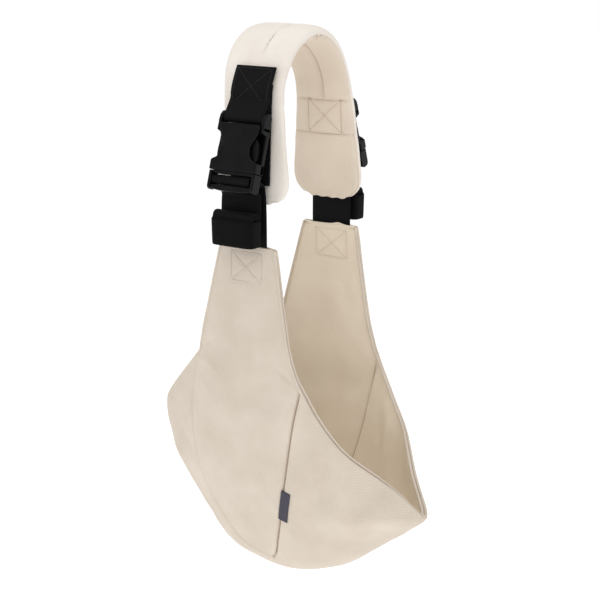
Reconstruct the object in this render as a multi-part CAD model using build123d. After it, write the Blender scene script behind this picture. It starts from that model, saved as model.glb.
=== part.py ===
from build123d import *
import math
import os

# One-shoulder padded hip sling: a padded shoulder strap, two adjustable webbing
# sides with side-release buckles, and a fabric seat pouch.
# Frame: +Z up, the loop lies in the Y-Z plane, strap widths run along X.
# The "front" side is at -Y, the "rear" side at +Y, the pouch's long tip is at +X.
# Origin: the middle of the underside of the pad's crown, where it rests on a shoulder.

# ---------- driving dimensions (millimetres) ----------
CLEAR = 0.35                    # gap between pieces that move apart

# shoulder pad
PAD_INNER_R = 50.0              # underside radius of the crown
PAD_THICK = 20.0
PAD_CROWN_HALF = 43.0           # half width over the shoulder
PAD_WAIST_HALF = 39.0           # half width of the limbs, narrowest
PAD_FLARE_HALF = 46.0           # half width near the rounded ends
PAD_SPREAD = 3.0                # degrees each limb leans outward
PAD_LIMB = 116.0                # straight length of each limb
COVER_THICK = 1.6

# webbing
WEB_WIDTH = 50.0
WEB_THICK = 1.8
GUARD_TOP = 2.6                 # stack height of the guard flap on the pad
FLAP_GAP = 0.7                  # air between the pad and the flap
ANCHOR_GAP = 0.9                # air between the flap and the webbing over it
ANCHOR_START = 26.0             # degrees over the shoulder where the webbing is sewn on
FLAP_START = 22.0
STRAP_Y = 76.3                  # distance of the load straps from the middle plane

# side-release buckle, in its own frame: bar at the origin, hanging down
BUCKLE_WIDTH = 58.0
BUCKLE_FRONT = 8.0              # front face, ahead of the bar
BUCKLE_BACK = 6.0               # back face, behind the bar
BUCKLE_WALL = 2.3
RAIL_WIDTH = 3.6
EAR_RISE = 7.0
PANEL_TOP = -6.0
SOCKET_END = -55.0
NECK_TOP = -50.5                # the prongs flex about a line just above this, 18.5 mm off the middle
CLIP_END = -75.0
BAR_R = 3.0
BUCKLE_TILT = 18.0              # degrees, lower end outward
BAR_Y = 81.5
BAR_Z = -67.0

# seat pouch
SHELL_THICK = 2.2
LINING_THICK = 1.4
STRAP_ROOM = 4.0                # space between shell and lining, where the straps are sewn in
ARM_TOP = -199.0
ARM_HALF = 34.5
JUNCTION_X = 66.0
RIGHT_JUNCTION_Z = -344.0
LEFT_JUNCTION_Z = -321.0
TIP_X = 178.0
TIP_Z = -482.0
TAIL_X = -172.0
TAIL_Z = -420.0
SEAT_Z = -577.0
SEAM_FOOT_Z = -556.0
BINDING_HEIGHT = 6.0

# rolled spare strap and its elastic keeper
ROLL_THICK = 18.0
ROLL_TOP = -161.5
ROLL_HEIGHT = 38.0
ROLL_Y = 95.0
KEEPER_THICK = 1.3
KEEPER_HEIGHT = 28.0

TAG_X = 41.0
TAG_Y = -66.9
TAG_TOP = -478.0

SIDES = {"front": False, "rear": True}


# ---------- helpers ----------
def polygon_yz(points, width, x_middle=0.0):
    """A closed outline in the Y-Z plane, extruded along X."""
    outline = Polyline(*[(0, y, z) for y, z in points], close=True)
    solid = extrude(make_face(outline), amount=width / 2, dir=(1, 0, 0), both=True)
    return Pos(x_middle, 0, 0) * solid


def polygon_xz(points, y_low, y_high):
    """A closed outline in the X-Z plane, extruded along Y between two values."""
    outline = Polyline(*[(x, y_low, z) for x, z in points], close=True)
    return extrude(make_face(outline), amount=y_high - y_low, dir=(0, 1, 0))


def block(x_low, x_high, y_low, y_high, z_low, z_high):
    """A box from its limits."""
    size = (x_high - x_low, y_high - y_low, z_high - z_low)
    middle = ((x_low + x_high) / 2, (y_low + y_high) / 2, (z_low + z_high) / 2)
    return Pos(*middle) * Box(*size)


def ribbon(path, thickness=WEB_THICK, width=WEB_WIDTH):
    """Flat webbing that follows a path of (y, z) points."""
    left = []
    right = []
    last = len(path) - 1
    for i, (y, z) in enumerate(path):
        y0, z0 = path[max(i - 1, 0)]
        y1, z1 = path[min(i + 1, last)]
        length = math.hypot(y1 - y0, z1 - z0)
        ny = -(z1 - z0) / length
        nz = (y1 - y0) / length
        reach = thickness / 2
        if 0 < i < last:
            run = math.hypot(y - y0, z - z0)
            along = ((y - y0) * (y1 - y0) + (z - z0) * (z1 - z0)) / (run * length)
            reach /= max(along, 0.7)
        left.append((y + ny * reach, z + nz * reach))
        right.append((y - ny * reach, z - nz * reach))
    return polygon_yz(left + right[::-1], width)


def arc_points(centre, radius, start, end, steps):
    """Points of an arc in the Y-Z plane; angles in degrees from +Y towards +Z."""
    result = []
    for i in range(steps + 1):
        angle = math.radians(start + (end - start) * i / steps)
        result.append((centre[0] + radius * math.cos(angle), centre[1] + radius * math.sin(angle)))
    return result


def blend_value(table, z):
    """The value at height z, in proportion between the (z, value) stations of a table, z falling."""
    for (z0, v0), (z1, v1) in zip(table, table[1:]):
        if z <= z0 and z >= z1:
            share = (z0 - z) / (z0 - z1)
            return v0 + (v1 - v0) * share
    return table[0][1] if z > table[0][0] else table[-1][1]


def on_side(shape, rear):
    """Front-side geometry as built, or its mirror image for the rear side."""
    return mirror(shape, about=Plane.XZ) if rear else shape


def tilted(shape):
    """Place buckle-frame geometry at the front socket bar."""
    return Pos(0, -BAR_Y, BAR_Z) * (Rot(-BUCKLE_TILT, 0, 0) * shape)


def tilted_point(y, z):
    """The same placement for one (y, z) point of the buckle frame."""
    angle = math.radians(-BUCKLE_TILT)
    return (
        y * math.cos(angle) - z * math.sin(angle) - BAR_Y,
        y * math.sin(angle) + z * math.cos(angle) + BAR_Z,
    )


# ---------- shoulder pad ----------
def pad_station(travel):
    """Centre and outward direction of the pad at a distance from the crown's middle."""
    radius = PAD_INNER_R + PAD_THICK / 2
    bend = math.radians(90.0 - PAD_SPREAD)
    side = 1.0 if travel >= 0 else -1.0
    distance = abs(travel)
    angle = min(distance / radius, bend)
    y = radius * math.sin(angle)
    z = radius * math.cos(angle) - PAD_INNER_R
    beyond = max(distance - radius * bend, 0.0)
    y += beyond * math.cos(angle)
    z -= beyond * math.sin(angle)
    return side * y, z, side * math.sin(angle), math.cos(angle)


def pad_solid(inset):
    """The whole padded limb, or the same shape drawn in by an inset."""
    radius = PAD_INNER_R + PAD_THICK / 2
    arch = radius * math.radians(90.0 - PAD_SPREAD)
    end = arch + PAD_LIMB
    half_sizes = [
        (0.0, PAD_CROWN_HALF, 1.0),
        (arch * 0.5, PAD_CROWN_HALF - 1.0, 0.98),
        (arch, PAD_WAIST_HALF, 0.96),
        (arch + PAD_LIMB * 0.3, PAD_WAIST_HALF + 1.0, 0.94),
        (arch + PAD_LIMB * 0.6, PAD_FLARE_HALF - 2.0, 0.92),
        (arch + PAD_LIMB * 0.8, PAD_FLARE_HALF, 0.86),
        (end - 9.0, PAD_FLARE_HALF - 7.0, 0.66),
        (end, PAD_FLARE_HALF - 24.0, 0.36),
    ]
    sections = []
    mirrored = [(-t, w, k) for t, w, k in half_sizes[:0:-1]]
    for travel, half_width, share in mirrored + half_sizes:
        y, z, out_y, out_z = pad_station(math.copysign(abs(travel) - inset * (abs(travel) == end), travel))
        plane = Plane(origin=(0, y, z), x_dir=(1, 0, 0), z_dir=(0, out_z, -out_y))
        width = 2 * (half_width - inset)
        thick = PAD_THICK * share - 2 * inset
        corner = min(thick * 0.46, 7.0)
        sections.append(plane * RectangleRounded(width, thick, corner))
    return loft(sections)


def pad_pieces():
    """Foam core, outer cover and inner lining of the shoulder pad."""
    whole = pad_solid(0.0)
    core = pad_solid(COVER_THICK)
    cover = whole - pad_solid(COVER_THICK - 0.1)
    radius = PAD_INNER_R + PAD_THICK / 2
    arch = radius * math.radians(90.0 - PAD_SPREAD)
    stations = [arch * i / 8 for i in range(-8, 9)]
    stations = [-arch - PAD_LIMB - 10] + stations + [arch + PAD_LIMB + 10]
    middle_line = [pad_station(t)[:2] for t in stations]
    inside = polygon_yz(middle_line, 4 * PAD_FLARE_HALF)
    return {
        "pad_foam_core": core,
        "pad_outer_cover": cover - inside,
        "pad_lining": cover & inside,
    }


# ---------- webbing sewn to the pad ----------
def pad_outer_radius():
    return PAD_INNER_R + PAD_THICK


def limb_point(z, offset):
    """A point off the outer face of the front limb, at height z."""
    turn = math.radians(PAD_SPREAD)
    reach = pad_outer_radius() + offset
    y = reach / math.cos(turn) + (-PAD_INNER_R - z) * math.tan(turn)
    return -y, z


def arch_path(offset, start, steps=6):
    """Points just off the arch's outer face, from an angle down to the limb."""
    centre = (0.0, -PAD_INNER_R)
    return arc_points(centre, pad_outer_radius() + offset, 180 - start, 180 + PAD_SPREAD, steps)


def anchor_webbing():
    """Webbing sewn to the pad, looped round the socket bar and back."""
    loop_r = BAR_R + 0.3 + WEB_THICK / 2
    around = arc_points((0.0, 0.0), loop_r, 170, 350, 10)
    loop = [tilted_point(y, z) for y, z in around]
    front = arch_path(GUARD_TOP + 1.5 * WEB_THICK + ANCHOR_GAP, ANCHOR_START)
    back = [limb_point(z, GUARD_TOP + 0.5 * WEB_THICK) for z in (-59.0, -50.0)]
    return ribbon(front + loop + back)


def guard_flap():
    """Second webbing layer, free behind the buckle, nearly to the pad's end."""
    offset = FLAP_GAP + WEB_THICK / 2
    path = arch_path(offset, FLAP_START) + [limb_point(z, offset) for z in (-80.0, -110.0, -134.0)]
    return ribbon(path)


# ---------- side-release buckle ----------
def buckle_socket():
    """Female half: front panel, back plate, side walls, two ears and the webbing bar."""
    half = BUCKLE_WIDTH / 2
    body = block(-half, half, -BUCKLE_FRONT, BUCKLE_BACK, SOCKET_END, PANEL_TOP)
    body = fillet(body.edges().filter_by(Axis.Z), 3.0)
    inner = half - RAIL_WIDTH
    hollow_front = -BUCKLE_FRONT + BUCKLE_WALL
    cavity = block(-inner, inner, hollow_front, BUCKLE_BACK - BUCKLE_WALL, SOCKET_END - 1.0, -15.0)
    body -= cavity
    webbing_way = block(-inner, inner, hollow_front, BUCKLE_BACK + 1.0, -11.0, PANEL_TOP + 1.0)
    body -= webbing_way
    for side in (-1, 1):
        finger_gap = Pos(side * (half + 2.0), 0, -31.0) * Rot(90, 0, 0) * Cylinder(14.0, 40.0)
        body -= finger_gap
        ear = block(inner, half, -BUCKLE_FRONT + 1.5, BUCKLE_BACK, PANEL_TOP - 4.0, EAR_RISE)
        ear = fillet(ear.edges().filter_by(Axis.X).group_by(Axis.Z)[-1], 4.5)
        body += ear if side > 0 else mirror(ear, about=Plane.YZ)
    bar = Rot(0, 90, 0) * Cylinder(BAR_R, BUCKLE_WIDTH - 2.0)
    return body + bar


def clip_frame():
    """Male half without its prongs: neck, tongue, rails, centre bar and curved end bar."""
    half = BUCKLE_WIDTH / 2
    inner = half - RAIL_WIDTH
    top = SOCKET_END - CLEAR
    frame = block(-half, half, -BUCKLE_FRONT + 1.0, BUCKLE_BACK - 1.0, CLIP_END, top)
    end_edges = frame.edges().filter_by(Axis.Y).group_by(Axis.Z)[0]
    frame = fillet(end_edges, 6.0)
    frame -= block(-inner, inner, -BUCKLE_FRONT, BUCKLE_BACK, CLIP_END + 6.0, top - 3.0)
    bar = Pos(0, 0, -63.5) * Rot(0, 90, 0) * Cylinder(2.0, 2 * inner + 2.0)
    neck_half = inner - CLEAR
    neck_front = -BUCKLE_FRONT + BUCKLE_WALL + CLEAR
    neck_back = BUCKLE_BACK - BUCKLE_WALL - CLEAR
    neck = block(-neck_half, neck_half, neck_front, neck_back, top - 0.5, NECK_TOP)
    tongue = block(-4.0, 4.0, neck_front + 1.5, neck_back - 1.5, NECK_TOP - 0.5, -22.0)
    return frame + bar + neck + tongue


def prong(side):
    """One springy arm with its broad head, standing on the neck."""
    root = NECK_TOP + 0.9
    outer = BUCKLE_WIDTH / 2 - RAIL_WIDTH - CLEAR
    outline = [
        (14.5, root),
        (21.5, root),
        (22.5, -42.0),
        (outer, -38.0),
        (outer, -26.0),
        (20.5, -19.0),
        (16.5, -18.0),
        (17.0, -30.0),
        (15.5, -42.0),
    ]
    front = -BUCKLE_FRONT + BUCKLE_WALL + 1.0
    back = BUCKLE_BACK - BUCKLE_WALL - 1.0
    return polygon_xz([(side * x, z) for x, z in outline], front, back)


# ---------- adjustable strap ----------
def strap_over_clip():
    """Shoulder of the strap, its turn over the clip's centre bar, the tail and the roll."""
    turn = [
        tilted_point(6.6, -60.2),
        tilted_point(-3.0, -60.3),
        tilted_point(-3.8, -63.5),
        tilted_point(-3.0, -66.7),
        tilted_point(6.6, -67.2),
    ]
    rise = [(-STRAP_Y - 0.8, -142.5), (-STRAP_Y - 1.6, -137.5), (-STRAP_Y - 5.0, -131.0)]
    roll_inner = ROLL_Y - ROLL_THICK / 2 + WEB_THICK / 2
    fall = [(-roll_inner - 2.0, -143.0), (-roll_inner, -149.0), (-roll_inner, ROLL_TOP - 8.0)]
    band = ribbon(rise + turn + fall)
    roll = block(
        -WEB_WIDTH / 2,
        WEB_WIDTH / 2,
        -ROLL_Y - ROLL_THICK / 2,
        -ROLL_Y + ROLL_THICK / 2,
        ROLL_TOP - ROLL_HEIGHT,
        ROLL_TOP,
    )
    roll = fillet(roll.edges().filter_by(Axis.X), ROLL_THICK / 2 - 0.6)
    return band + roll


def elastic_keeper():
    """Elastic band round the rolled strap, with a small seam tab."""
    top = ROLL_TOP - 9.0
    gap = CLEAR + KEEPER_THICK
    half_x = WEB_WIDTH / 2
    half_y = ROLL_THICK / 2
    outer = block(
        -half_x - gap, half_x + gap, -ROLL_Y - half_y - gap, -ROLL_Y + half_y + gap, top - KEEPER_HEIGHT, top
    )
    outer = fillet(outer.edges().filter_by(Axis.Z), 4.0)
    hollow = block(
        -half_x - CLEAR,
        half_x + CLEAR,
        -ROLL_Y - half_y - CLEAR,
        -ROLL_Y + half_y + CLEAR,
        top - KEEPER_HEIGHT - 1.0,
        top + 1.0,
    )
    seam_tab = block(-half_x - gap - 2.0, -half_x - gap + 0.5, -ROLL_Y - 1.2, -ROLL_Y + 1.2, top - 3.0, top)
    return outer - hollow + seam_tab


def load_strap():
    """Webbing that rises from inside the pouch's arm towards the buckle."""
    path = [(-STRAP_Y - 0.9, ARM_TOP - 37.0), (-STRAP_Y, ARM_TOP), (-STRAP_Y, -142.5 - CLEAR - WEB_THICK)]
    return ribbon(path)


# ---------- seat pouch ----------
RIGHT_REACH = [
    (-190, 96), (-260, 112), (-320, 134), (-370, 150), (-411, 162), (-447, 171), (-482, 177),
    (-500, 161), (-520, 133), (-540, 104), (-556, 78), (-568, 50), (-577, 20),
]
LEFT_REACH = [
    (-190, 96), (-260, 118), (-320, 140), (-370, 156), (-411, 169), (-447, 163), (-482, 142),
    (-500, 132), (-520, 119), (-540, 102), (-556, 84), (-568, 58), (-577, 22),
]
HALF_DEPTH = [
    (-190, 80.5), (-260, 82), (-320, 83), (-370, 82.5), (-411, 79), (-447, 74), (-482, 66),
    (-500, 60), (-520, 53), (-540, 45), (-556, 36), (-568, 25), (-577, 9),
]
SQUARENESS_X = 2.6
SQUARENESS_Y = 1.9
SECTION_STEPS = 16
SECTION_HEIGHTS = [-190.0 - 40.0 * i for i in range(8)] + [-500.0, -525.0, -545.0, -560.0, -570.0, SEAT_Z]


def pouch_section(z, inset):
    """Closed level curve of the pouch at height z, drawn in by an inset."""
    depth = blend_value(HALF_DEPTH, z) - inset
    points = []
    for i in range(SECTION_STEPS):
        angle = 2 * math.pi * (i + 0.5) / SECTION_STEPS
        c, s = math.cos(angle), math.sin(angle)
        reach = blend_value(RIGHT_REACH if c > 0 else LEFT_REACH, z) - inset
        x = math.copysign(reach * abs(c) ** (2 / SQUARENESS_X), c)
        y = math.copysign(depth * abs(s) ** (2 / SQUARENESS_Y), s)
        points.append((x, y, z + inset * (z <= SEAT_Z)))
    return make_face(Spline(*points, periodic=True))


def pouch_body(inset):
    """Solid body inside the pouch's surface, at an inset from the outside."""
    return loft([pouch_section(z, inset) for z in reversed(SECTION_HEIGHTS)])


def rim_height(x, drop=0.0):
    """Height of the rim planes over a given x, lowered along the rim by a drop."""
    if x >= 0:
        slope = (TIP_Z - RIGHT_JUNCTION_Z) / (TIP_X - JUNCTION_X)
        return RIGHT_JUNCTION_Z + slope * (x - JUNCTION_X) - drop
    slope = (TAIL_Z - LEFT_JUNCTION_Z) / (TAIL_X + JUNCTION_X)
    return LEFT_JUNCTION_Z + slope * (x + JUNCTION_X) - drop


SIDE_SEAMS = [
    (JUNCTION_X, RIGHT_JUNCTION_Z), (57.0, -385.0), (46.0, -440.0), (34.0, -490.0), (20.0, -535.0),
    (5.0, SEAM_FOOT_Z), (-22.0, -535.0), (-46.0, -490.0), (-62.0, -440.0), (-69.0, -385.0),
    (-JUNCTION_X, LEFT_JUNCTION_Z),
]
ARM_OUTLINE = [(-52.0, -262.0), (-ARM_HALF, ARM_TOP), (ARM_HALF, ARM_TOP), (44.0, -262.0), (51.0, -305.0)]
FAR_OUT = 400.0                 # beyond the pouch sideways, and below it
FLOOR_OUT = 700.0


def side_cut(front):
    """Region of one side panel: arm, shield-shaped body and rounded foot."""
    limits = (-FAR_OUT, -1.0) if front else (1.0, FAR_OUT)
    return polygon_xz(SIDE_SEAMS + ARM_OUTLINE, *limits)


def seam_of(right):
    """One side seam from its junction with the rim down to the foot, and the binding's lower corner."""
    seam = SIDE_SEAMS[:6] if right else SIDE_SEAMS[:4:-1]
    (x0, z0), (x1, z1) = seam[:2]
    seam_slope = (z1 - z0) / (x1 - x0)
    rim_slope = (rim_height(2 * x0) - rim_height(x0)) / x0
    x = x0 - BINDING_HEIGHT / (seam_slope - rim_slope)
    return seam, (x, rim_height(x, BINDING_HEIGHT))


def gusset_cut(right):
    """Region of one leg gusset: below its rim binding, outside the side seams."""
    seam, corner = seam_of(right)
    side = 1 if right else -1
    outline = [(side * FAR_OUT, rim_height(side * FAR_OUT, BINDING_HEIGHT)), corner]
    outline += seam[1:] + [(seam[-1][0], -FLOOR_OUT), (side * FAR_OUT, -FLOOR_OUT)]
    return polygon_xz(outline, -FAR_OUT, FAR_OUT)


def binding_cut(right):
    """Region of one rim binding: a strip along the rim, from junction to tip to junction."""
    _, corner = seam_of(right)
    side = 1 if right else -1
    upper = [(side * x, rim_height(side * x)) for x in (JUNCTION_X, FAR_OUT)]
    lower = [(side * FAR_OUT, rim_height(side * FAR_OUT, BINDING_HEIGHT)), corner]
    return polygon_xz(upper + lower, -FAR_OUT, FAR_OUT)


def pouch_pieces():
    """Shell panels, linings and rim bindings of the pouch."""
    shell = pouch_body(0.0) - pouch_body(SHELL_THICK)
    lining_out = SHELL_THICK + STRAP_ROOM
    arm_lining = pouch_body(lining_out) - pouch_body(lining_out + LINING_THICK)
    pieces = {}
    for name, rear in SIDES.items():
        region = side_cut(not rear)
        pieces[f"pouch_{name}_side_panel"] = shell & region
        pieces[f"pouch_{name}_side_lining"] = arm_lining & region
    rolled_edge = pouch_body(-0.6) - pouch_body(lining_out + LINING_THICK + 0.6)
    for name, right in (("right", True), ("left", False)):
        region = gusset_cut(right)
        pieces[f"pouch_{name}_leg_gusset"] = shell & region
        pieces[f"pouch_{name}_gusset_lining"] = arm_lining & region
        pieces[f"pouch_{name}_rim_binding"] = rolled_edge & binding_cut(right)
    return pieces


def side_tag():
    """Small blank folded fabric tag caught in the front right seam."""
    return block(TAG_X, TAG_X + 11.0, TAG_Y - 0.9, TAG_Y, TAG_TOP - 32.0, TAG_TOP)


# ---------- all nodes ----------
def build_nodes():
    nodes = {}
    nodes.update(pad_pieces())
    socket = tilted(buckle_socket())
    clip = tilted(clip_frame())
    prongs = {"left": tilted(prong(-1)), "right": tilted(prong(1))}
    for name, rear in SIDES.items():
        nodes[f"{name}_anchor_webbing"] = on_side(anchor_webbing(), rear)
        nodes[f"{name}_guard_flap"] = on_side(guard_flap(), rear)
        nodes[f"{name}_buckle_socket"] = on_side(socket, rear)
        nodes[f"{name}_clip_frame"] = on_side(clip, rear)
        for hand, arm in prongs.items():
            nodes[f"{name}_{hand}_prong"] = on_side(arm, rear)
        nodes[f"{name}_strap_and_roll"] = on_side(strap_over_clip(), rear)
        nodes[f"{name}_elastic_keeper"] = on_side(elastic_keeper(), rear)
        nodes[f"{name}_load_strap"] = on_side(load_strap(), rear)
    nodes.update(pouch_pieces())
    nodes["side_tag"] = side_tag()
    return nodes


os.makedirs("parts", exist_ok=True)
for node_name, shape in build_nodes().items():
    export_step(shape, f"parts/{node_name}.step")
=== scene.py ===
import math

import bmesh
import bpy
import numpy as np
from mathutils import Matrix, Vector, noise


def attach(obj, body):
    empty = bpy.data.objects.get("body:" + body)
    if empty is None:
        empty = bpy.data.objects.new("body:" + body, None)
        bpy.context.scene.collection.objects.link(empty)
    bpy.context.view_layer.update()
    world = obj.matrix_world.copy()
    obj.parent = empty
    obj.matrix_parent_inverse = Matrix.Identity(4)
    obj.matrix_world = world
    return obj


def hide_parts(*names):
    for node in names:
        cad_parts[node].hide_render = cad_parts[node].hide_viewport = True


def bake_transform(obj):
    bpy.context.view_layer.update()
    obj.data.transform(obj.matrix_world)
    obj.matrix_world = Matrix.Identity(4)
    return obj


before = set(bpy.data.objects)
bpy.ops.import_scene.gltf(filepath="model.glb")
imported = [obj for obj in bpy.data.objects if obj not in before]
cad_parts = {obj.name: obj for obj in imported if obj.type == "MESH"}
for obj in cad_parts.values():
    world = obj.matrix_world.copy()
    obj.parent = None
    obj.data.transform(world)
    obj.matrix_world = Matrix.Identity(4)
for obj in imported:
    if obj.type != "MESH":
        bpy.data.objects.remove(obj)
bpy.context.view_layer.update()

# One-shoulder padded hip sling. Lengths below are millimetres in the row frame unless a name says
# otherwise; every mesh is scaled to metres as it is made.
MM = 0.001
CREASE_ANGLE = 55.0             # sheets shade sharp at edges that turn more than this

# shoulder pad
PAD_INNER_R = 50.0
PAD_THICK = 20.0
PAD_SPREAD = 3.0
PAD_LIMB = 116.0
PAD_MID_R = PAD_INNER_R + PAD_THICK / 2
PAD_BEND = math.radians(90.0 - PAD_SPREAD)
PAD_ARCH = PAD_MID_R * PAD_BEND
PAD_END = PAD_ARCH + PAD_LIMB
PAD_OUTER_R = PAD_INNER_R + PAD_THICK

# webbing
WEB_WIDTH = 50.0
WEB_THICK = 1.7

# buckle, in its own frame: bar at the origin, hanging down
BUCKLE_TILT = 18.0
BAR_Y = 81.5
BAR_Z = -67.0

# pouch
SHELL_THICK = 1.2
LINING_GAP = 6.4                # from the shell to the lining, away from the edges
EDGE_GAP = 4.0                  # between the two rolled edges
ROLL_R = 1.45
LINING_PROUD = 2.0              # the lining edge stands a little beyond the shell edge
SQUARE_X = 2.6
SQUARE_Y = 1.9
ARM_TOP = -199.0
JUNCTION = {"right": (66.0, -344.0), "left": (-66.0, -321.0)}
RIM_SLOPE = {"right": -142.0 / 112.0, "left": 99.0 / 106.0}
RIM_SAG = {"right": 10.0, "left": 2.0}
SIDES = {"front": -1.0, "rear": 1.0}


# ---------- curves and small maths ----------
def hermite(t, start, end, start_slope, end_slope):
    """A cubic from start to end as t runs from 0 to 1, with a given slope at each."""
    leaving = start * (1 + 2 * t) * (1 - t) ** 2 + start_slope * t * (1 - t) ** 2
    return leaving + (end * t * t * (3 - 2 * t) + end_slope * t * t * (t - 1))


def smooth_curve(stations):
    """A curve through (position, value) stations without overshoot, as a function of position."""
    xs, ys = np.array(sorted(stations), float).T
    gaps = np.diff(xs)
    slopes = np.diff(ys) / gaps
    tangents = np.zeros(len(xs))
    tangents[0], tangents[-1] = slopes[0], slopes[-1]
    for i in range(1, len(xs) - 1):
        if slopes[i - 1] * slopes[i] > 0:
            tangents[i] = 2 * slopes[i - 1] * slopes[i] / (slopes[i - 1] + slopes[i])

    def value(at):
        at = np.clip(at, xs[0], xs[-1])
        i = np.clip(np.searchsorted(xs, at) - 1, 0, len(gaps) - 1)
        t = (at - xs[i]) / gaps[i]
        return hermite(t, ys[i], ys[i + 1], gaps[i] * tangents[i], gaps[i] * tangents[i + 1])

    return value


def step_between(low, high, value):
    """0 at low, 1 at high, smooth between."""
    t = np.clip((value - low) / (high - low), 0, 1)
    return t * t * (3 - 2 * t)


def bump_at(distance, width):
    return np.exp(-((distance / width) ** 2))


def arc_lengths(points):
    steps = np.linalg.norm(np.diff(points, axis=0), axis=1)
    return np.concatenate([[0], np.cumsum(steps)])


def resample(points, shares):
    """Points at given shares of a polyline's length."""
    points = np.asarray(points, float)
    lengths = arc_lengths(points)
    at = np.asarray(shares) * lengths[-1]
    return np.stack([np.interp(at, lengths, column) for column in points.T], axis=-1)


def spline(points, spacing):
    """A smooth line through points, in even steps of about the spacing."""
    points = np.asarray(points, float)
    ends = np.vstack([2 * points[0] - points[1], points, 2 * points[-1] - points[-2]])
    fine = []
    t = np.linspace(0, 1, 12, endpoint=False)[:, None]
    for a, b, c, d in zip(ends, ends[1:], ends[2:], ends[3:]):
        fine.append(hermite(t, b, c, (c - a) / 2, (d - b) / 2))
    fine = np.vstack(fine + [points[-1:]])
    count = max(2, int(arc_lengths(fine)[-1] / spacing) + 1)
    return resample(fine, np.linspace(0, 1, count))


def ripple(points, size, seed):
    """Slow noise at each point, about -0.5 to 0.5, with features of a given size."""
    shift = Vector((seed * 13.7, seed * 5.1, seed * 9.3))
    flat = points.reshape(-1, 3)
    values = [noise.noise(Vector(p) / size + shift) for p in flat]
    return np.array(values).reshape(points.shape[:-1])


def grid_normals(grid, away_from):
    """Unit normals of a grid of points, on the side that faces away from a point of its own row."""
    along = np.gradient(grid, axis=0)
    across = np.gradient(grid, axis=1)
    normals = np.cross(along, across)
    lengths = np.linalg.norm(normals, axis=-1, keepdims=True)
    normals = normals / np.maximum(lengths, 1e-9)
    outward = np.sum(normals * (grid - away_from), axis=-1)
    return normals * (1.0 if np.median(outward) > 0 else -1.0)


# ---------- mesh making ----------
def mesh_object(name, points, faces, corner_uvs=None):
    """A smooth-shaded mesh from millimetre points, with UVs in metres for each face corner."""
    mesh = bpy.data.meshes.new(name)
    mesh.from_pydata((np.asarray(points, float) * MM).tolist(), [], faces)
    mesh.polygons.foreach_set("use_smooth", [True] * len(mesh.polygons))
    if corner_uvs is not None:
        layer = mesh.uv_layers.new(name="UVMap")
        layer.data.foreach_set("uv", (np.asarray(corner_uvs, float) * MM).ravel())
    piece = bpy.data.objects.new(name, mesh)
    bpy.context.scene.collection.objects.link(piece)
    return piece


def quads(rows, cols, start=0, wrap=False, flipped=False):
    """Quads of a grid of points, and each corner's (row, column) with the wrap unrolled."""
    faces, corners = [], []
    width = cols - 1 if not wrap else cols
    for i in range(rows - 1):
        for j in range(width):
            square = [(i, j), (i + 1, j), (i + 1, j + 1), (i, j + 1)]
            if flipped:
                square.reverse()
            faces.append([start + a * cols + b % cols for a, b in square])
            corners.extend(square)
    return faces, corners


def faces_along(grid, i, j, direction):
    """Whether quads() lists the grid's square at (i, j) facing a direction."""
    corner = grid[i, j]
    return np.dot(np.cross(grid[i + 1, j] - corner, grid[i, j + 1] - corner), direction) > 0


def sheet_object(name, grid, normals, thickness, uv=None):
    """A thin closed sheet on a grid of middle-surface points."""
    rows, cols = grid.shape[:2]
    outer = (grid + normals * thickness / 2).reshape(-1, 3)
    inner = (grid - normals * thickness / 2).reshape(-1, 3)
    middle = cols // 2
    if uv is None:
        along, across = [
            np.insert(np.cumsum(np.linalg.norm(np.diff(grid, axis=axis), axis=2), axis), 0, 0, axis)
            for axis in (0, 1)
        ]
        along, across = along[:, middle:middle + 1], across - across[:, middle:middle + 1]
        uv = np.stack([np.repeat(along, cols, 1), across], -1)
    facing = faces_along(grid, rows // 2, middle, normals[rows // 2, middle])
    top, top_corners = quads(rows, cols, 0, flipped=not facing)
    low, low_corners = quads(rows, cols, rows * cols, flipped=facing)
    faces, corners = top + low, top_corners + low_corners
    border = [(0, j) for j in range(cols)] + [(i, cols - 1) for i in range(1, rows)]
    border += [(rows - 1, j) for j in range(cols - 2, -1, -1)] + [(i, 0) for i in range(rows - 2, 0, -1)]
    for a, b in zip(border, border[1:] + border[:1]):
        ia, ib = a[0] * cols + a[1], b[0] * cols + b[1]
        edge = [ia, ib, ib + rows * cols, ia + rows * cols]
        square = [a, b, b, a]
        if facing:
            edge.reverse()
            square.reverse()
        faces.append(edge)
        corners.extend(square)
    corner_uvs = [uv[i, j] for i, j in corners]
    piece = mesh_object(name, np.vstack([outer, inner]), faces, corner_uvs)
    piece.data.set_sharp_from_angle(angle=math.radians(CREASE_ANGLE))
    return piece


def sweep_frames(path, hint):
    """Two directions square to a path at each point; the first of them leans to the hint."""
    along = np.gradient(path, axis=0)
    along /= np.linalg.norm(along, axis=1, keepdims=True)
    hint = np.broadcast_to(np.asarray(hint, float), path.shape)
    first = hint - along * np.sum(hint * along, axis=1, keepdims=True)
    first /= np.linalg.norm(first, axis=1, keepdims=True)
    return first, np.cross(along, first)


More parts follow.
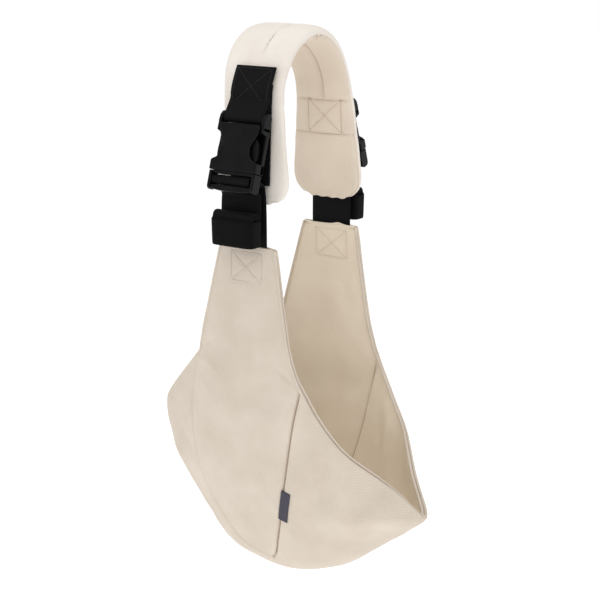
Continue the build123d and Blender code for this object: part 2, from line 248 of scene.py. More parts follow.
def sweep_object(name, path, section, hint, scale=None):
    """A closed section of (a, b) points swept along a path, a along the hint, with flat ends."""
    path = np.asarray(path, float)
    first, second = sweep_frames(path, hint)
    section = np.asarray(section, float)
    count = len(section)
    scale = np.ones(len(path)) if scale is None else scale
    rings = (
        path[:, None, :]
        + first[:, None, :] * section[None, :, :1] * scale[:, None, None]
        + second[:, None, :] * section[None, :, 1:] * scale[:, None, None]
    )
    around = arc_lengths(np.vstack([section, section[:1]]))
    along = arc_lengths(path)
    faces, corners = quads(len(path), count, wrap=True, flipped=True)
    uvs = [(around[b], along[a]) for a, b in corners]
    last = (len(path) - 1) * count
    faces.append(list(range(count)))
    uvs += [(around[b], 0.0) for b in range(count)]
    faces.append([last + b for b in reversed(range(count))])
    uvs += [(around[b], along[-1]) for b in reversed(range(count))]
    return mesh_object(name, rings.reshape(-1, 3), faces, uvs)


def round_section(radius, count=10):
    angles = np.arange(count) * 2 * math.pi / count
    return np.stack([np.cos(angles), np.sin(angles)], 1) * radius


def strap_section(width, thickness):
    """A flat band with rounded selvedges, a little thicker at them than in the middle."""
    half, edge = width / 2, thickness / 2
    across = np.linspace(-half + 1.0, half - 1.0, 15)
    swell = edge * (1 + 0.12 * bump_at(half - 1.6 - np.abs(across), 1.2))
    top = np.stack([across, swell], 1)
    right = [(half - 0.3, edge * 0.75), (half, 0.0), (half - 0.3, -edge * 0.75)]
    bottom = np.stack([across[::-1], -swell[::-1]], 1)
    left = [(-half + 0.3, -edge * 0.75), (-half, 0.0), (-half + 0.3, edge * 0.75)]
    return np.vstack([top, right, bottom, left])


def join(pieces, name):
    """Several meshes as one piece."""
    bpy.ops.object.select_all(action="DESELECT")
    for piece in pieces:
        piece.select_set(True)
    bpy.context.view_layer.objects.active = pieces[0]
    bpy.ops.object.join()
    pieces[0].name = name
    pieces[0].data.name = name
    return pieces[0]


def mirrored(grid, side):
    """Front-side points as they are, or their mirror image for the rear side."""
    flipped = np.array(grid, float)
    if side > 0:
        flipped[..., 1] *= -1
    return flipped


THREAD_SIDES = 5


def stitches(name, paths, normals, pitch=3.2, radius=0.3, lift=0.1):
    """Rows of raised thread stitches along paths of points on a surface."""
    points, faces, uvs = [], [], []
    profile = [(0.0, 0.4, -0.5), (0.22, 1.0, 0.3), (0.78, 1.0, 0.3), (1.0, 0.4, -0.5)]
    for path, normal in zip(paths, normals):
        path, normal = np.asarray(path, float), np.asarray(normal, float)
        count = max(1, int(round(arc_lengths(path)[-1] / pitch)))
        marks = resample(path, np.linspace(0, 1, count + 1))
        ups = resample(np.broadcast_to(normal, path.shape), np.linspace(0, 1, count + 1))
        for a, b, up in zip(marks, marks[1:], ups):
            up = up / np.linalg.norm(up)
            run = (b - a) * 0.84
            side = np.cross(up, run / np.linalg.norm(run))
            start = len(points)
            for share, size, rise in profile:
                middle = a + run * share + up * (lift + rise * radius)
                for k in range(THREAD_SIDES):
                    turn = 2 * math.pi * k / THREAD_SIDES
                    spoke = side * math.cos(turn) + up * math.sin(turn) * 0.8
                    points.append(middle + spoke * radius * size)
            rows, corners = quads(len(profile), THREAD_SIDES, start, wrap=True)
            faces += rows
            uvs += [(c, r) for r, c in corners]
            last = start + (len(profile) - 1) * THREAD_SIDES
            ring = range(THREAD_SIDES)
            faces += [[start + k for k in ring], [last + k for k in reversed(ring)]]
            uvs += [(0, 0)] * 2 * THREAD_SIDES
    return mesh_object(name, points, faces, uvs)


# ---------- materials ----------
def linear(colour):
    """An 0-255 screen colour as the linear values a shader takes."""
    shares = [c / 255 for c in colour]
    return tuple(c / 12.92 if c <= 0.04045 else ((c + 0.055) / 1.055) ** 2.4 for c in shares) + (1.0,)


WAVE_UNIT = 0.31416              # the scale at which a wave texture repeats once a metre


class Finish:
    """A principled material under construction."""

    def __init__(self, name, roughness, sheen=0.0, sheen_roughness=0.5, specular=0.35):
        self.material = bpy.data.materials.new(name)
        self.material.use_nodes = True
        self.tree = self.material.node_tree
        self.shader = self.tree.nodes["Principled BSDF"]
        for key, value in (("Roughness", roughness), ("Sheen Weight", sheen),
                           ("Sheen Roughness", sheen_roughness), ("Specular IOR Level", specular)):
            self.shader.inputs[key].default_value = value

    def node(self, kind, **settings):
        made = self.tree.nodes.new(kind)
        for key, value in settings.items():
            if key in made.inputs:
                made.inputs[key].default_value = value
            else:
                setattr(made, key.lower(), value)
        return made

    def link(self, source, target):
        self.tree.links.new(source, target)

    def noise(self, coordinates, scale, detail=3.0):
        made = self.node("ShaderNodeTexNoise", Scale=scale, Detail=detail, Roughness=0.55)
        self.link(coordinates, made.inputs["Vector"])
        return made.outputs["Fac"]

    def waves(self, coordinates, pitch, direction, distortion):
        """Parallel ridges, one to each pitch in metres."""
        made = self.node("ShaderNodeTexWave", Scale=WAVE_UNIT / pitch, Distortion=distortion)
        made.bands_direction = direction
        made.inputs["Detail Scale"].default_value = 0.6
        self.link(coordinates, made.inputs["Vector"])
        return made.outputs["Fac"]

    def math(self, operation, a, b):
        made = self.node("ShaderNodeMath", operation=operation)
        for socket, value in zip(made.inputs, (a, b)):
            if isinstance(value, float):
                socket.default_value = value
            else:
                self.link(value, socket)
        return made.outputs[0]

    def total(self, *parts):
        """The sum of (value, weight) parts."""
        scaled = [self.math("MULTIPLY", value, weight) for value, weight in parts]
        result = scaled[0]
        for value in scaled[1:]:
            result = self.math("ADD", result, value)
        return result

    def between(self, share, low, high, a, b):
        """A value that runs from a to b as share runs from low to high."""
        made = self.node("ShaderNodeMapRange")
        for key, value in (("From Min", low), ("From Max", high), ("To Min", a), ("To Max", b)):
            made.inputs[key].default_value = value
        self.link(share, made.inputs["Value"])
        return made.outputs["Result"]

    def tones(self, share, colours):
        """A colour ramp over a share."""
        ramp = self.node("ShaderNodeValToRGB")
        stops = ramp.color_ramp.elements
        while len(stops) < len(colours):
            stops.new(0.5)
        for stop, (place, colour) in zip(stops, colours):
            stop.position = place
            stop.color = linear(colour)
        self.link(share, ramp.inputs["Fac"])
        return ramp.outputs["Color"]

    def relief(self, height, strength, distance):
        bump = self.node("ShaderNodeBump", Strength=strength, Distance=distance)
        self.link(height, bump.inputs["Height"])
        self.link(bump.outputs["Normal"], self.shader.inputs["Normal"])


def canvas(name, light, dark, pitch, twill=False, on_object=False):
    """Cotton canvas or twill: two thread directions, slubs, soft tone changes."""
    finish = Finish(name, 0.86, sheen=0.12)
    source = finish.node("ShaderNodeTexCoord")
    place = source.outputs["Object"]
    threads = place if on_object else source.outputs["UV"]
    if twill:
        warp = finish.waves(threads, pitch, "DIAGONAL", 0.4)
        faint = finish.math("MULTIPLY", finish.waves(threads, pitch * 0.7, "Y", 0.6), 0.35)
        weft = finish.math("ADD", faint, 0.65)
    else:
        warp = finish.waves(threads, pitch, "X", 0.5)
        weft = finish.waves(threads, pitch, "Z" if on_object else "Y", 0.5)
    weave = finish.math("MULTIPLY", warp, weft)
    slub = finish.noise(place, 900.0, 2.0)
    cloud = finish.noise(place, 22.0, 3.0)
    fibre = finish.total((weave, 0.35), (slub, 0.65))
    shade = finish.total((fibre, 0.45), (cloud, 0.55))
    finish.link(finish.tones(shade, [(0.3, dark), (0.66, light)]), finish.shader.inputs["Base Color"])
    finish.link(finish.between(slub, 0.3, 0.7, 0.78, 0.94), finish.shader.inputs["Roughness"])
    finish.relief(fibre, 0.6, 0.0004)
    return finish.material


def webbing(name, light, dark, pitch, rib, rough=0.62):
    """Woven polyester webbing: cross ribs crossed by fine lengthwise cords."""
    finish = Finish(name, rough, sheen=0.02, sheen_roughness=0.4, specular=0.08)
    source = finish.node("ShaderNodeTexCoord")
    ribs = finish.waves(source.outputs["UV"], rib, "Y", 0.5)
    cords = finish.waves(source.outputs["UV"], pitch, "X", 0.7)
    twill = finish.waves(source.outputs["UV"], pitch * 1.4, "DIAGONAL", 0.2)
    fuzz = finish.noise(source.outputs["Object"], 1400.0, 2.0)
    weave = finish.total((ribs, 0.5), (cords, 0.2), (twill, 0.3))
    tone = finish.total((weave, 0.6), (fuzz, 0.4))
    finish.link(finish.tones(tone, [(0.2, dark), (0.8, light)]), finish.shader.inputs["Base Color"])
    finish.link(finish.between(fuzz, 0.3, 0.7, rough - 0.08, rough + 0.12),
                finish.shader.inputs["Roughness"])
    finish.relief(weave, 0.6, 0.0004)
    return finish.material


def moulded(name, light, dark):
    """Satin acetal: spark-eroded grain, slightly rubbed patches."""
    finish = Finish(name, 0.36, specular=0.16)
    place = finish.node("ShaderNodeTexCoord").outputs["Object"]
    grain = finish.noise(place, 2600.0, 2.0)
    rub = finish.noise(place, 60.0, 4.0)
    finish.link(finish.tones(rub, [(0.35, dark), (0.75, light)]), finish.shader.inputs["Base Color"])
    finish.link(finish.between(rub, 0.3, 0.7, 0.3, 0.44), finish.shader.inputs["Roughness"])
    finish.relief(grain, 0.12, 0.00012)
    return finish.material


def thread(name, light, dark):
    """Twisted sewing thread."""
    finish = Finish(name, 0.7, sheen=0.1)
    place = finish.node("ShaderNodeTexCoord").outputs["Object"]
    twist = finish.waves(place, 0.0005, "DIAGONAL", 1.0)
    finish.link(finish.tones(twist, [(0.2, dark), (0.8, light)]), finish.shader.inputs["Base Color"])
    finish.relief(twist, 0.3, 0.0001)
    return finish.material


PAD_CLOTH = canvas("pad_canvas", (243, 237, 229), (233, 224, 213), 0.0009, on_object=True)
# the pad's lining canvas, darker than the cover as painted shade on the inner faces
PAD_LINING_SHADED_CLOTH = canvas("pad_lining_shaded_canvas", (230, 217, 201), (218, 204, 187), 0.0009, on_object=True)
POUCH_PLAIN = canvas("pouch_canvas", (223, 212, 198), (207, 194, 178), 0.0013)
POUCH_TWILL = canvas("pouch_twill", (222, 210, 196), (204, 191, 174), 0.0015, twill=True)
# the pouch lining cloth, made lighter than the shell as painted light inside the pouch
LINING_PAINTED_LIGHT_CLOTH = canvas("pouch_lining_painted_light_cloth", (240, 228, 209), (228, 214, 194), 0.0012)
BLACK_WEB = webbing("black_webbing", (24, 24, 26), (3, 3, 4), 0.0013, 0.0019)
BLACK_ELASTIC = webbing("black_elastic", (17, 16, 16), (6, 6, 6), 0.0008, 0.0011, 0.74)
BLACK_PLASTIC = moulded("black_acetal", (11, 11, 12), (4, 4, 5))
ARM_THREAD = thread("arm_thread", (230, 219, 205), (215, 203, 188))
PALE_THREAD = thread("pale_thread", (205, 190, 170), (180, 164, 142))
# painted shadow: the colour of the dark cords laid along the crisp seams of the pouch and the pad
SEAM_SHADE = thread("seam_shade", (186, 168, 146), (150, 132, 110))
BLACK_THREAD = thread("black_thread", (30, 30, 32), (12, 12, 13))
TAG_CLOTH = webbing("tag_satin", (90, 87, 97), (66, 64, 75), 0.0006, 0.0007, 0.55)


def finished(piece, material, body):
    """Give a piece its finish and put it on its body."""
    piece.data.materials.clear()
    piece.data.materials.append(material)
    if body:
        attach(piece, body)
    return piece


# ---------- shoulder pad ----------
PAD_HALF_WIDTH = smooth_curve([
    (0, 42.5), (PAD_ARCH * 0.5, 41.5), (PAD_ARCH, 38.5), (PAD_ARCH + 35, 40.0), (PAD_ARCH + 70, 43.5),
    (PAD_END - 24, 45.5), (PAD_END - 14, 43.0), (PAD_END - 7, 37.0), (PAD_END - 2.5, 29.0), (PAD_END, 22.0),
])
PAD_HALF_THICK = smooth_curve([
    (0, 9.4), (PAD_ARCH, 8.6), (PAD_ARCH + 60, 8.6), (PAD_END - 26, 8.2), (PAD_END - 12, 6.4),
    (PAD_END - 4, 4.2), (PAD_END, 2.6),
])
PAD_RING = 96
PAD_ROWS = 200
BOX_TOP = PAD_ARCH + 11.0
BOX_END = PAD_ARCH + 46.0
BOX_HALF = 21.0
BOX_X = 3.0                     # the quilted box sits a little towards the tip side
PAD_SHIFT = 6.5                 # the rear limb hangs longer than the front one
PAD_LEAN = -5.0
SHOULDER_NIP = 5.0              # the tip-side edge draws in where the rear limb begins
CREST_RISE = 4.5


def outer_centre(travel):
    return 6.5 + 1.6 * np.sin(travel / 22.0)


def inner_centre(limb):
    return 3.6 - 1.2 * (limb / BOX_TOP) ** 2


def pad_frame(travel):
    """Centre of the pad at a travel from the crown, and the direction away from the wearer."""
    distance = np.abs(travel)
    angle = np.minimum(distance / PAD_MID_R, PAD_BEND)
    beyond = np.maximum(distance - PAD_ARCH, 0)
    side = np.where(travel < 0, -1.0, 1.0)
    y = side * (PAD_MID_R * np.sin(angle) + beyond * np.cos(angle))
    z = PAD_MID_R * np.cos(angle) - PAD_INNER_R - beyond * np.sin(angle)
    return y, z, side * np.sin(angle), np.cos(angle)


def pad_grid(rows, ring, shrink=0.0):
    """Rings of points round the pad, and each point's travel, x and height off the middle surface."""
    share = np.sin(np.linspace(-1, 1, rows) * 1.48) / math.sin(1.48)
    travel = (0.35 * share + 0.65 * np.linspace(-1, 1, rows)) * (PAD_END - shrink * 0.5)
    turn = (np.arange(ring) + 0.5) * 2 * math.pi / ring
    half_width = PAD_HALF_WIDTH(np.abs(travel)) - shrink
    half_thick = PAD_HALF_THICK(np.abs(travel)) - shrink * 0.6
    x = half_width[:, None] * np.sign(np.cos(turn)) * np.abs(np.cos(turn)) ** 0.62
    h = half_thick[:, None] * np.sign(np.sin(turn)) * np.abs(np.sin(turn)) ** 0.62
    y, z, out_y, out_z = pad_frame(travel + PAD_SHIFT * (travel / PAD_END) ** 2)
    lean = PAD_LEAN * bump_at(travel + 20.0, 75.0) + 2.0 * step_between(40.0, 110.0, travel)
    z = z + CREST_RISE * bump_at(travel, 48.0)
    x = x - (SHOULDER_NIP * bump_at(travel - 62.0, 40.0))[:, None] * step_between(0, 40, x)
    points = np.stack([x + lean[:, None], y[:, None] + h * out_y[:, None],
                       z[:, None] + h * out_z[:, None]], -1)
    return points, np.stack([np.broadcast_to(travel[:, None], x.shape), x, h], -1)


def pad_seams(travel, x, h, sharp):
    """How deep the seams and quilting draw each point of the pad in: soft pull, or the crisp line itself."""
    limb = np.abs(travel)
    inner = step_between(0.0, 2.0, -h)
    outer = step_between(0.0, 2.0, h)
    width = PAD_HALF_WIDTH(limb)
    line = 1.0 if sharp else 3.4
    edge = 0.25 + 0.75 * step_between(2.0, 12.0, width - np.abs(x))
    depth = 1.2 * inner * bump_at(width - 2.8 - np.abs(x), line) * step_between(PAD_END, PAD_END - 6, limb)
    depth += 2.2 * inner * bump_at(x - inner_centre(limb), line) * step_between(BOX_TOP + 1, BOX_TOP - 3,
            limb)
    fade = step_between(64.0, 40.0, limb)
    depth += 2.0 * outer * bump_at(x - outer_centre(travel), line) * fade
    for cross in (BOX_TOP, BOX_END):
        dip = 1.6 * np.cos(x / 30.0)
        depth += 1.9 * edge * inner * bump_at(limb - cross - dip, line * 1.1)
    in_box = step_between(BOX_TOP - 1, BOX_TOP + 1, limb) * step_between(BOX_END + 1, BOX_END - 1, limb)
    depth += 1.3 * inner * in_box * bump_at(np.abs(x - BOX_X) - BOX_HALF, line)
    slant = (limb - (BOX_TOP + BOX_END) / 2) * 2 * BOX_HALF / (BOX_END - BOX_TOP)
    for way in (-1, 1):
        depth += 0.9 * inner * in_box * bump_at((x - BOX_X - way * slant) * 0.62, line)
    depth += 0.5 * inner * in_box * step_between(BOX_END - 12, BOX_TOP + 16, limb) * bump_at(x - BOX_X,
            line)
    depth += 0.6 * step_between(PAD_END - 10, PAD_END, limb) * (1 + np.cos(x * 2 * math.pi / 13.0))
    return depth


def pad_creases(travel, x, h):
    """Small pinch wrinkles at the crest's edge and along the limbs."""
    lines = [(-3.0, 42.0, 12.0, 26.0, 1.6, 3.2), (4.0, 42.0, 22.0, 33.0, 1.6, 2.0),
             (-8, -41, 6, -30, 2.2, 1.2),
             (BOX_TOP + 2, 43.0, BOX_TOP - 5, 30.0, 2.0, 0.9),
             (BOX_END + 2, 44.0, BOX_END + 8, 30.0, 2.2, 0.9),
             (-BOX_TOP - 2, 40.0, -BOX_TOP + 6, 29.0, 2.0, 0.8),
             (PAD_END - 14, 36, PAD_END - 32, 20, 2.6, 0.8),
             (-PAD_END + 12, -30, -PAD_END + 34, -16, 3.0, 0.8),
             (PAD_END - 10, -24, PAD_END - 36, -18, 3.0, 0.8)]
    depth = np.zeros(x.shape)
    inner = step_between(2.5, -2.5, h)
    for t0, x0, t1, x1, width, height in lines:
        run = np.array([t1 - t0, x1 - x0], float)
        length = np.linalg.norm(run)
        along = ((travel - t0) * run[0] + (x - x0) * run[1]) / length
        off = ((travel - t0) * run[1] - (x - x0) * run[0]) / length
        taper = step_between(-2, length * 0.25, along) * step_between(length + 2, length * 0.4, along)
        depth += height * inner * taper * bump_at(off, width)
    return depth


def ring_normals(grid):
    """Outward normals of a tube-like grid whose second direction closes on itself."""
    around = np.roll(grid, -1, axis=1) - np.roll(grid, 1, axis=1)
    along = np.gradient(grid, axis=0)
    normals = np.cross(along, around)
    normals /= np.maximum(np.linalg.norm(normals, axis=-1, keepdims=True), 1e-9)
    centre = grid.mean(axis=1, keepdims=True)
    return normals * (1.0 if np.sum(normals * (grid - centre)) > 0 else -1.0)


def ring_object(name, grid):
    """A closed tube-like grid with both ends capped."""
    rows, ring = grid.shape[:2]
    facing = faces_along(grid, rows // 2, 0, ring_normals(grid)[rows // 2, 0])
    faces, corners = quads(rows, ring, wrap=True, flipped=not facing)
    along = arc_lengths(grid[:, 0])
    around = arc_lengths(np.vstack([grid[rows // 2], grid[rows // 2, :1]]))
    uvs = [(around[j], along[i]) for i, j in corners]
    for row, ordered in ((0, True), (rows - 1, False)):
        start = row * ring
        faces.append([start + k for k in (range(ring) if ordered else reversed(range(ring)))])
        uvs += [(0.0, 0.0)] * ring
    piece = mesh_object(name, grid.reshape(-1, 3), faces, uvs)
    shape = bmesh.new()
    shape.from_mesh(piece.data)
    bmesh.ops.recalc_face_normals(shape, faces=shape.faces)
    shape.to_mesh(piece.data)
    shape.free()
    return piece


SIM_FRAMES = 20
SIM_PRESSURE = 4.0
SIM_REACH = 3.2                 # the farthest the cloth may move from where it starts


def inflate(grid, held, pressure, cap):
    """The grid's shape after its cloth is blown up from inside; held is each point's pin weight."""
    rows, ring = grid.shape[:2]
    piece = ring_object("pad_sim", grid)
    pins = piece.vertex_groups.new(name="pins")
    for index, weight in enumerate(held.ravel()):
        if weight > 0.02:
            pins.add([index], float(weight), "REPLACE")
    cloth = piece.modifiers.new("Cloth", "CLOTH")
    settings = cloth.settings
    settings.quality = 5
    settings.mass = 0.25
    settings.tension_stiffness = 25
    settings.compression_stiffness = 25
    settings.shear_stiffness = 12
    settings.bending_stiffness = 4
    settings.use_pressure = True
    settings.uniform_pressure_force = pressure
    settings.vertex_group_mass = "pins"
    settings.effector_weights.gravity = 0
    for number in range(1, SIM_FRAMES + 1):
        bpy.context.scene.frame_set(number)
    solved = piece.evaluated_get(bpy.context.evaluated_depsgraph_get())
    flat = np.zeros(rows * ring * 3)
    solved.data.vertices.foreach_get("co", flat)
    result = flat.reshape(rows, ring, 3) / MM
    move = result - grid
    length = np.linalg.norm(move, axis=-1, keepdims=True)
    move *= np.minimum(1, cap / np.maximum(length, 1e-9))
    bpy.data.objects.remove(piece)
    bpy.context.scene.frame_set(1)
    return grid + move


def finer(grid, rows_by, ring_by):
    """A ring grid with more rows and more points in each ring."""
    rows, ring = grid.shape[:2]
    at = np.linspace(0, rows - 1, (rows - 1) * rows_by + 1)
    low = np.minimum(at.astype(int), rows - 2)
    t = (at - low)[:, None, None]
    slope = np.gradient(grid, axis=0)
    grid = hermite(t, grid[low], grid[low + 1], slope[low], slope[low + 1])
    slope = (np.roll(grid, -1, axis=1) - np.roll(grid, 1, axis=1)) / 2
    ahead, slope_ahead = np.roll(grid, -1, axis=1), np.roll(slope, -1, axis=1)
    parts = [hermite(k / ring_by, grid, ahead, slope, slope_ahead) for k in range(ring_by)]
    return np.stack(parts, axis=2).reshape(grid.shape[0], ring * ring_by, 3)


def pad_centre_lines(travel, h):
    """Where the crisp centre seams run: over the crest outside, and down both limbs inside."""
    out = np.linspace(-52.0, 52.0, 70)
    lines = [("outer", h > 2.0, np.stack([out, outer_centre(out)], 1))]
    for way, label in ((-1, "front_inner"), (1, "rear_inner")):
        run = np.linspace(8.0, BOX_TOP - 1.0, 60)
        lines.append((label, (h < -2.0) & (travel * way > 0),
                      np.stack([way * run, inner_centre(run)], 1)))
    return lines


def read_at(wanted, known, *fields):
    """Fields given at known places, read at the wanted ones from the four nearest."""
    gaps = np.linalg.norm(known[None] - wanted[:, None], axis=2)
    near = np.argsort(gaps, axis=1)[:, :4]
    weight = 1 / (np.take_along_axis(gaps, near, 1) + 0.05)
    weight /= weight.sum(axis=1, keepdims=True)
    return [(field[near] * weight[..., None]).sum(axis=1) for field in fields]


def pad_stitches(grid, facts):
    """Thread along the quilted boxes and their cross lines on the inner face of both limbs."""
    normals = ring_normals(grid)
    travel, x, h = np.moveaxis(facts, -1, 0)
    paths, ups = [], []
    for way in (-1, 1):
        usable = (h < -2.0) & (travel * way > 0)
        known = np.stack([np.abs(travel[usable]), x[usable]], 1)
        left, right = BOX_X - BOX_HALF, BOX_X + BOX_HALF
        lines = [[(BOX_TOP, left), (BOX_END, left)], [(BOX_TOP, right), (BOX_END, right)],
                 [(BOX_TOP, left), (BOX_END, right)], [(BOX_TOP, right), (BOX_END, left)],
                 [(BOX_TOP, -37.5), (BOX_TOP, 37.5)], [(BOX_END, -39.5), (BOX_END, 39.5)]]
        for line in lines:
            wanted = resample(np.array(line), np.linspace(0, 1, 40))
            if line[0][0] == line[1][0]:
                wanted[:, 0] += 1.6 * np.cos(wanted[:, 1] / 30.0)
            path, up = read_at(wanted, known, grid[usable], normals[usable])
            paths.append(path)
            ups.append(up)
    rows = stitches("pad_quilt_stitches", paths, ups, pitch=3.0, radius=0.3, lift=0.05)
    finished(rows, PALE_THREAD, "shoulder_pad")
    for label, usable, line in pad_centre_lines(travel, h):
        known = np.stack([travel[usable], x[usable]], 1)
        run, up = read_at(line, known, grid[usable], normals[usable])
        taper = step_between(0, 14, np.arange(len(run))) * step_between(0, 14, np.arange(len(run))[::-1])
        # painted shadow: a dark cord laid along each crisp centre seam of the pad
        pad_shade_line = sweep_object(f"pad_{label}_seam_fold", run, round_section(0.42, 8), up, 0.25 + 0.75 * taper)
        finished(pad_shade_line, SEAM_SHADE, "shoulder_pad")


def make_pad():
    coarse, facts = pad_grid(PAD_ROWS // 2, PAD_RING // 2, shrink=1.6)
    drawn = pad_seams(*np.moveaxis(facts, -1, 0), sharp=False)
    held = np.clip(drawn / 1.6, 0, 1)
    held[[0, 1, -2, -1]] = 1.0
    shape = inflate(coarse, held, SIM_PRESSURE, SIM_REACH)
    shape, facts = finer(shape, 4, 6), finer(facts, 4, 6)
    travel, x, h = np.moveaxis(facts, -1, 0)
    depth = 0.4 * pad_seams(travel, x, h, sharp=False) + 0.9 * pad_seams(travel, x, h, sharp=True)
    depth += pad_creases(travel, x, h) + 0.5 * ripple(shape, 38.0, 1) + 0.25 * ripple(shape, 15.0, 2)
    shape = shape - ring_normals(shape) * depth[..., None]
    pad = ring_object("shoulder_pad_cover", shape)
    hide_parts("pad_foam_core", "pad_outer_cover", "pad_lining")
    finished(pad, PAD_CLOTH, "shoulder_pad")
    pad.data.materials.append(PAD_LINING_SHADED_CLOTH)
    # the inner faces get the darker canvas: painted shade
    under = (h < -1.0).ravel()
    for polygon in pad.data.polygons:
        polygon.material_index = int(all(under[k] for k in polygon.vertices))
    pad_stitches(shape, facts)


# ---------- pouch surface ----------
RIGHT_REACH = smooth_curve([
    (-190, 96), (-260, 112), (-320, 134), (-370, 149), (-411, 160), (-447, 168), (-480, 175),
    (-500, 155), (-520, 129), (-540, 102), (-556, 78), (-568, 50), (-574, 27), (-577, 1),
])
LEFT_REACH = smooth_curve([
    (-190, 96), (-260, 118), (-320, 138), (-370, 152), (-411, 163), (-447, 154), (-482, 131),
    (-500, 120), (-520, 108), (-540, 94), (-556, 79), (-568, 54), (-574, 30), (-577, 1),
])
HALF_DEPTH = smooth_curve([
    (-190, 80.5), (-260, 82), (-320, 83), (-370, 82.5), (-411, 79), (-447, 74), (-482, 66),
    (-500, 60), (-520, 53), (-540, 45), (-556, 36), (-568, 25), (-574, 16), (-577, 1),
])
SEAM_FOOT = (0.0, -558.0)
KEEL_FOOT = -577.0
RIGHT_SEAM = [(66, -344), (57, -385), (45, -440), (31, -490), (17, -528), (9, -547), SEAM_FOOT]
LEFT_SEAM = [(-66, -321), (-75, -352), (-80, -400), (-78, -450), (-67, -492), (-46, -532), (-20, -552),
             SEAM_FOOT]
RIGHT_ARM = smooth_curve([(-199, 34.5), (-262, 44), (-305, 51.5), (-330, 59.5), (-344, 66)])
LEFT_ARM = smooth_curve([(-199, -34.5), (-262, -52), (-300, -62), (-321, -66)])
TIP_PINCH = 0.5                 # the long tip is folded thin


def wall(x, z):
    """Distance of the pouch's wall from the middle plane."""
    reach = np.where(x >= 0, RIGHT_REACH(z), LEFT_REACH(z))
    share = np.clip(np.abs(x) / np.maximum(reach, 1e-6), 0, 1)
    round_wall = HALF_DEPTH(z) * (1 - share ** SQUARE_X) ** (1 / SQUARE_Y)
    pinch = step_between(0.66, 1.0, share) * step_between(-545.0, -505.0, z) * (x >= 0)
    round_wall = round_wall * (1 - TIP_PINCH * pinch)
    flat_wall = 79.3 - 0.035 * np.abs(x)
    flat = step_between(-268.0, ARM_TOP, z)
    return round_wall * (1 - flat) + flat_wall * flat


def rim_height(hand, x):
    x0, z0 = JUNCTION[hand]
    return z0 + RIM_SLOPE[hand] * (x - x0)


def edge_of_side(hand):
    """The side panel's edge as a function of height: arm, then seam."""
    seam = smooth_curve([(z, x) for x, z in (RIGHT_SEAM if hand == "right" else LEFT_SEAM)])
    arm = RIGHT_ARM if hand == "right" else LEFT_ARM
    top = JUNCTION[hand][1]
    return lambda z: np.where(z >= top, arm(z), seam(z))


EDGE = {hand: edge_of_side(hand) for hand in ("right", "left")}

# soft folds: start and end in (x, z), width, height, and which wall they are on (-1 front, 1 rear, 0 both)
FOLDS = [
    (-66, -322, -30, -350, 5.0, 1.5, -1), (-69, -335, -34, -378, 6.0, -1.3, -1),
    (-64, -318, -44, -306, 3.0, -0.9, -1),
    (-75, -340, -80, -470, 9.0, 1.6, 0), (-96, -352, -112, -480, 12.0, -1.6, 0),
    (-132, -420, -96, -530, 10.0, 1.4, 0),
    (60, -352, 20, -400, 10.0, 1.2, 0), (40, -300, 5, -390, 14.0, -1.5, 0),
    (-20, -300, -30, -430, 16.0, 1.6, 0),
    (10, -420, -10, -520, 14.0, -1.4, 0), (66, -352, 84, -470, 7.0, 1.5, 0),
    (84, -380, 92, -500, 9.0, -1.6, 0),
    (60, -430, 44, -545, 8.0, 1.3, 0), (118, -420, 104, -520, 9.0, 1.2, 0),
    (146, -458, 112, -515, 7.0, -1.1, 0),
    (65, -341, 38, -318, 3.2, -1.9, -1), (63, -352, 44, -372, 3.0, -1.2, -1),
    (64, -330, 50, -300, 3.0, 1.2, -1),
    (92, -392, 70, -520, 6.0, -1.6, 0), (104, -410, 100, -505, 5.0, 1.5, 0),
    (33, -205, 14, -203, 2.4, -0.9, -1), (30, -203, 37, -226, 3.0, 0.6, -1),
    (8, -250, 26, -300, 9.0, 0.9, 1),
    (0, -262, 30, -330, 10.0, -1.1, 1), (-34, -270, 4, -352, 11.0, 1.1, 1),
]


def fold_relief(grid):
    """Height of the pouch's soft folds and slow waviness at each point."""
    x, y, z = np.moveaxis(grid, -1, 0)
    height = 1.7 * ripple(grid, 52.0, 3) + 0.6 * ripple(grid, 19.0, 4)
    for x0, z0, x1, z1, width, rise, where in FOLDS:
        run = np.array([x1 - x0, z1 - z0], float)
        length = np.linalg.norm(run)
        along = ((x - x0) * run[0] + (z - z0) * run[1]) / length
        off = ((x - x0) * run[1] - (z - z0) * run[0]) / length
        off = off + 2.0 * np.sin(along / 17.0)
        taper = step_between(0, length * 0.3, along) * step_between(length, length * 0.5, along)
        on_wall = 1.0 if where == 0 else step_between(-1, 1, y * where)
        height += 1.6 * rise * taper * bump_at(off, width) * on_wall
    return height


BOX_STITCH = {"front": (-19.5, 19.5, -205.0, -236.0), "rear": (-17.5, 23.0, -205.0, -236.5)}


def box_lines(x0, x1, z0, z1):
    """The four sides and two diagonals of a stitched box, as (x, z) runs."""
    middle = ((x0 + x1) / 2, (z0 + z1) / 2)
    return [
        [(x0, z0), (x1, z0), (x1, z1), (x0, z1), (x0, z0)],
        [(x0, z0), middle, (x1, z1)],
        [(x1, z0), middle, (x0, z1)],
    ]


def off_lines(x, z, lines):
    """Distance from each point to the nearest of some (x, z) runs."""
    nearest = np.full(x.shape, 1e9)
    for line in lines:
        for (x0, z0), (x1, z1) in zip(line, line[1:]):
            run = np.array([x1 - x0, z1 - z0])
            t = np.clip(((x - x0) * run[0] + (z - z0) * run[1]) / (run @ run), 0, 1)
            nearest = np.minimum(nearest, np.hypot(x - x0 - t * run[0], z - z0 - t * run[1]))
    return nearest


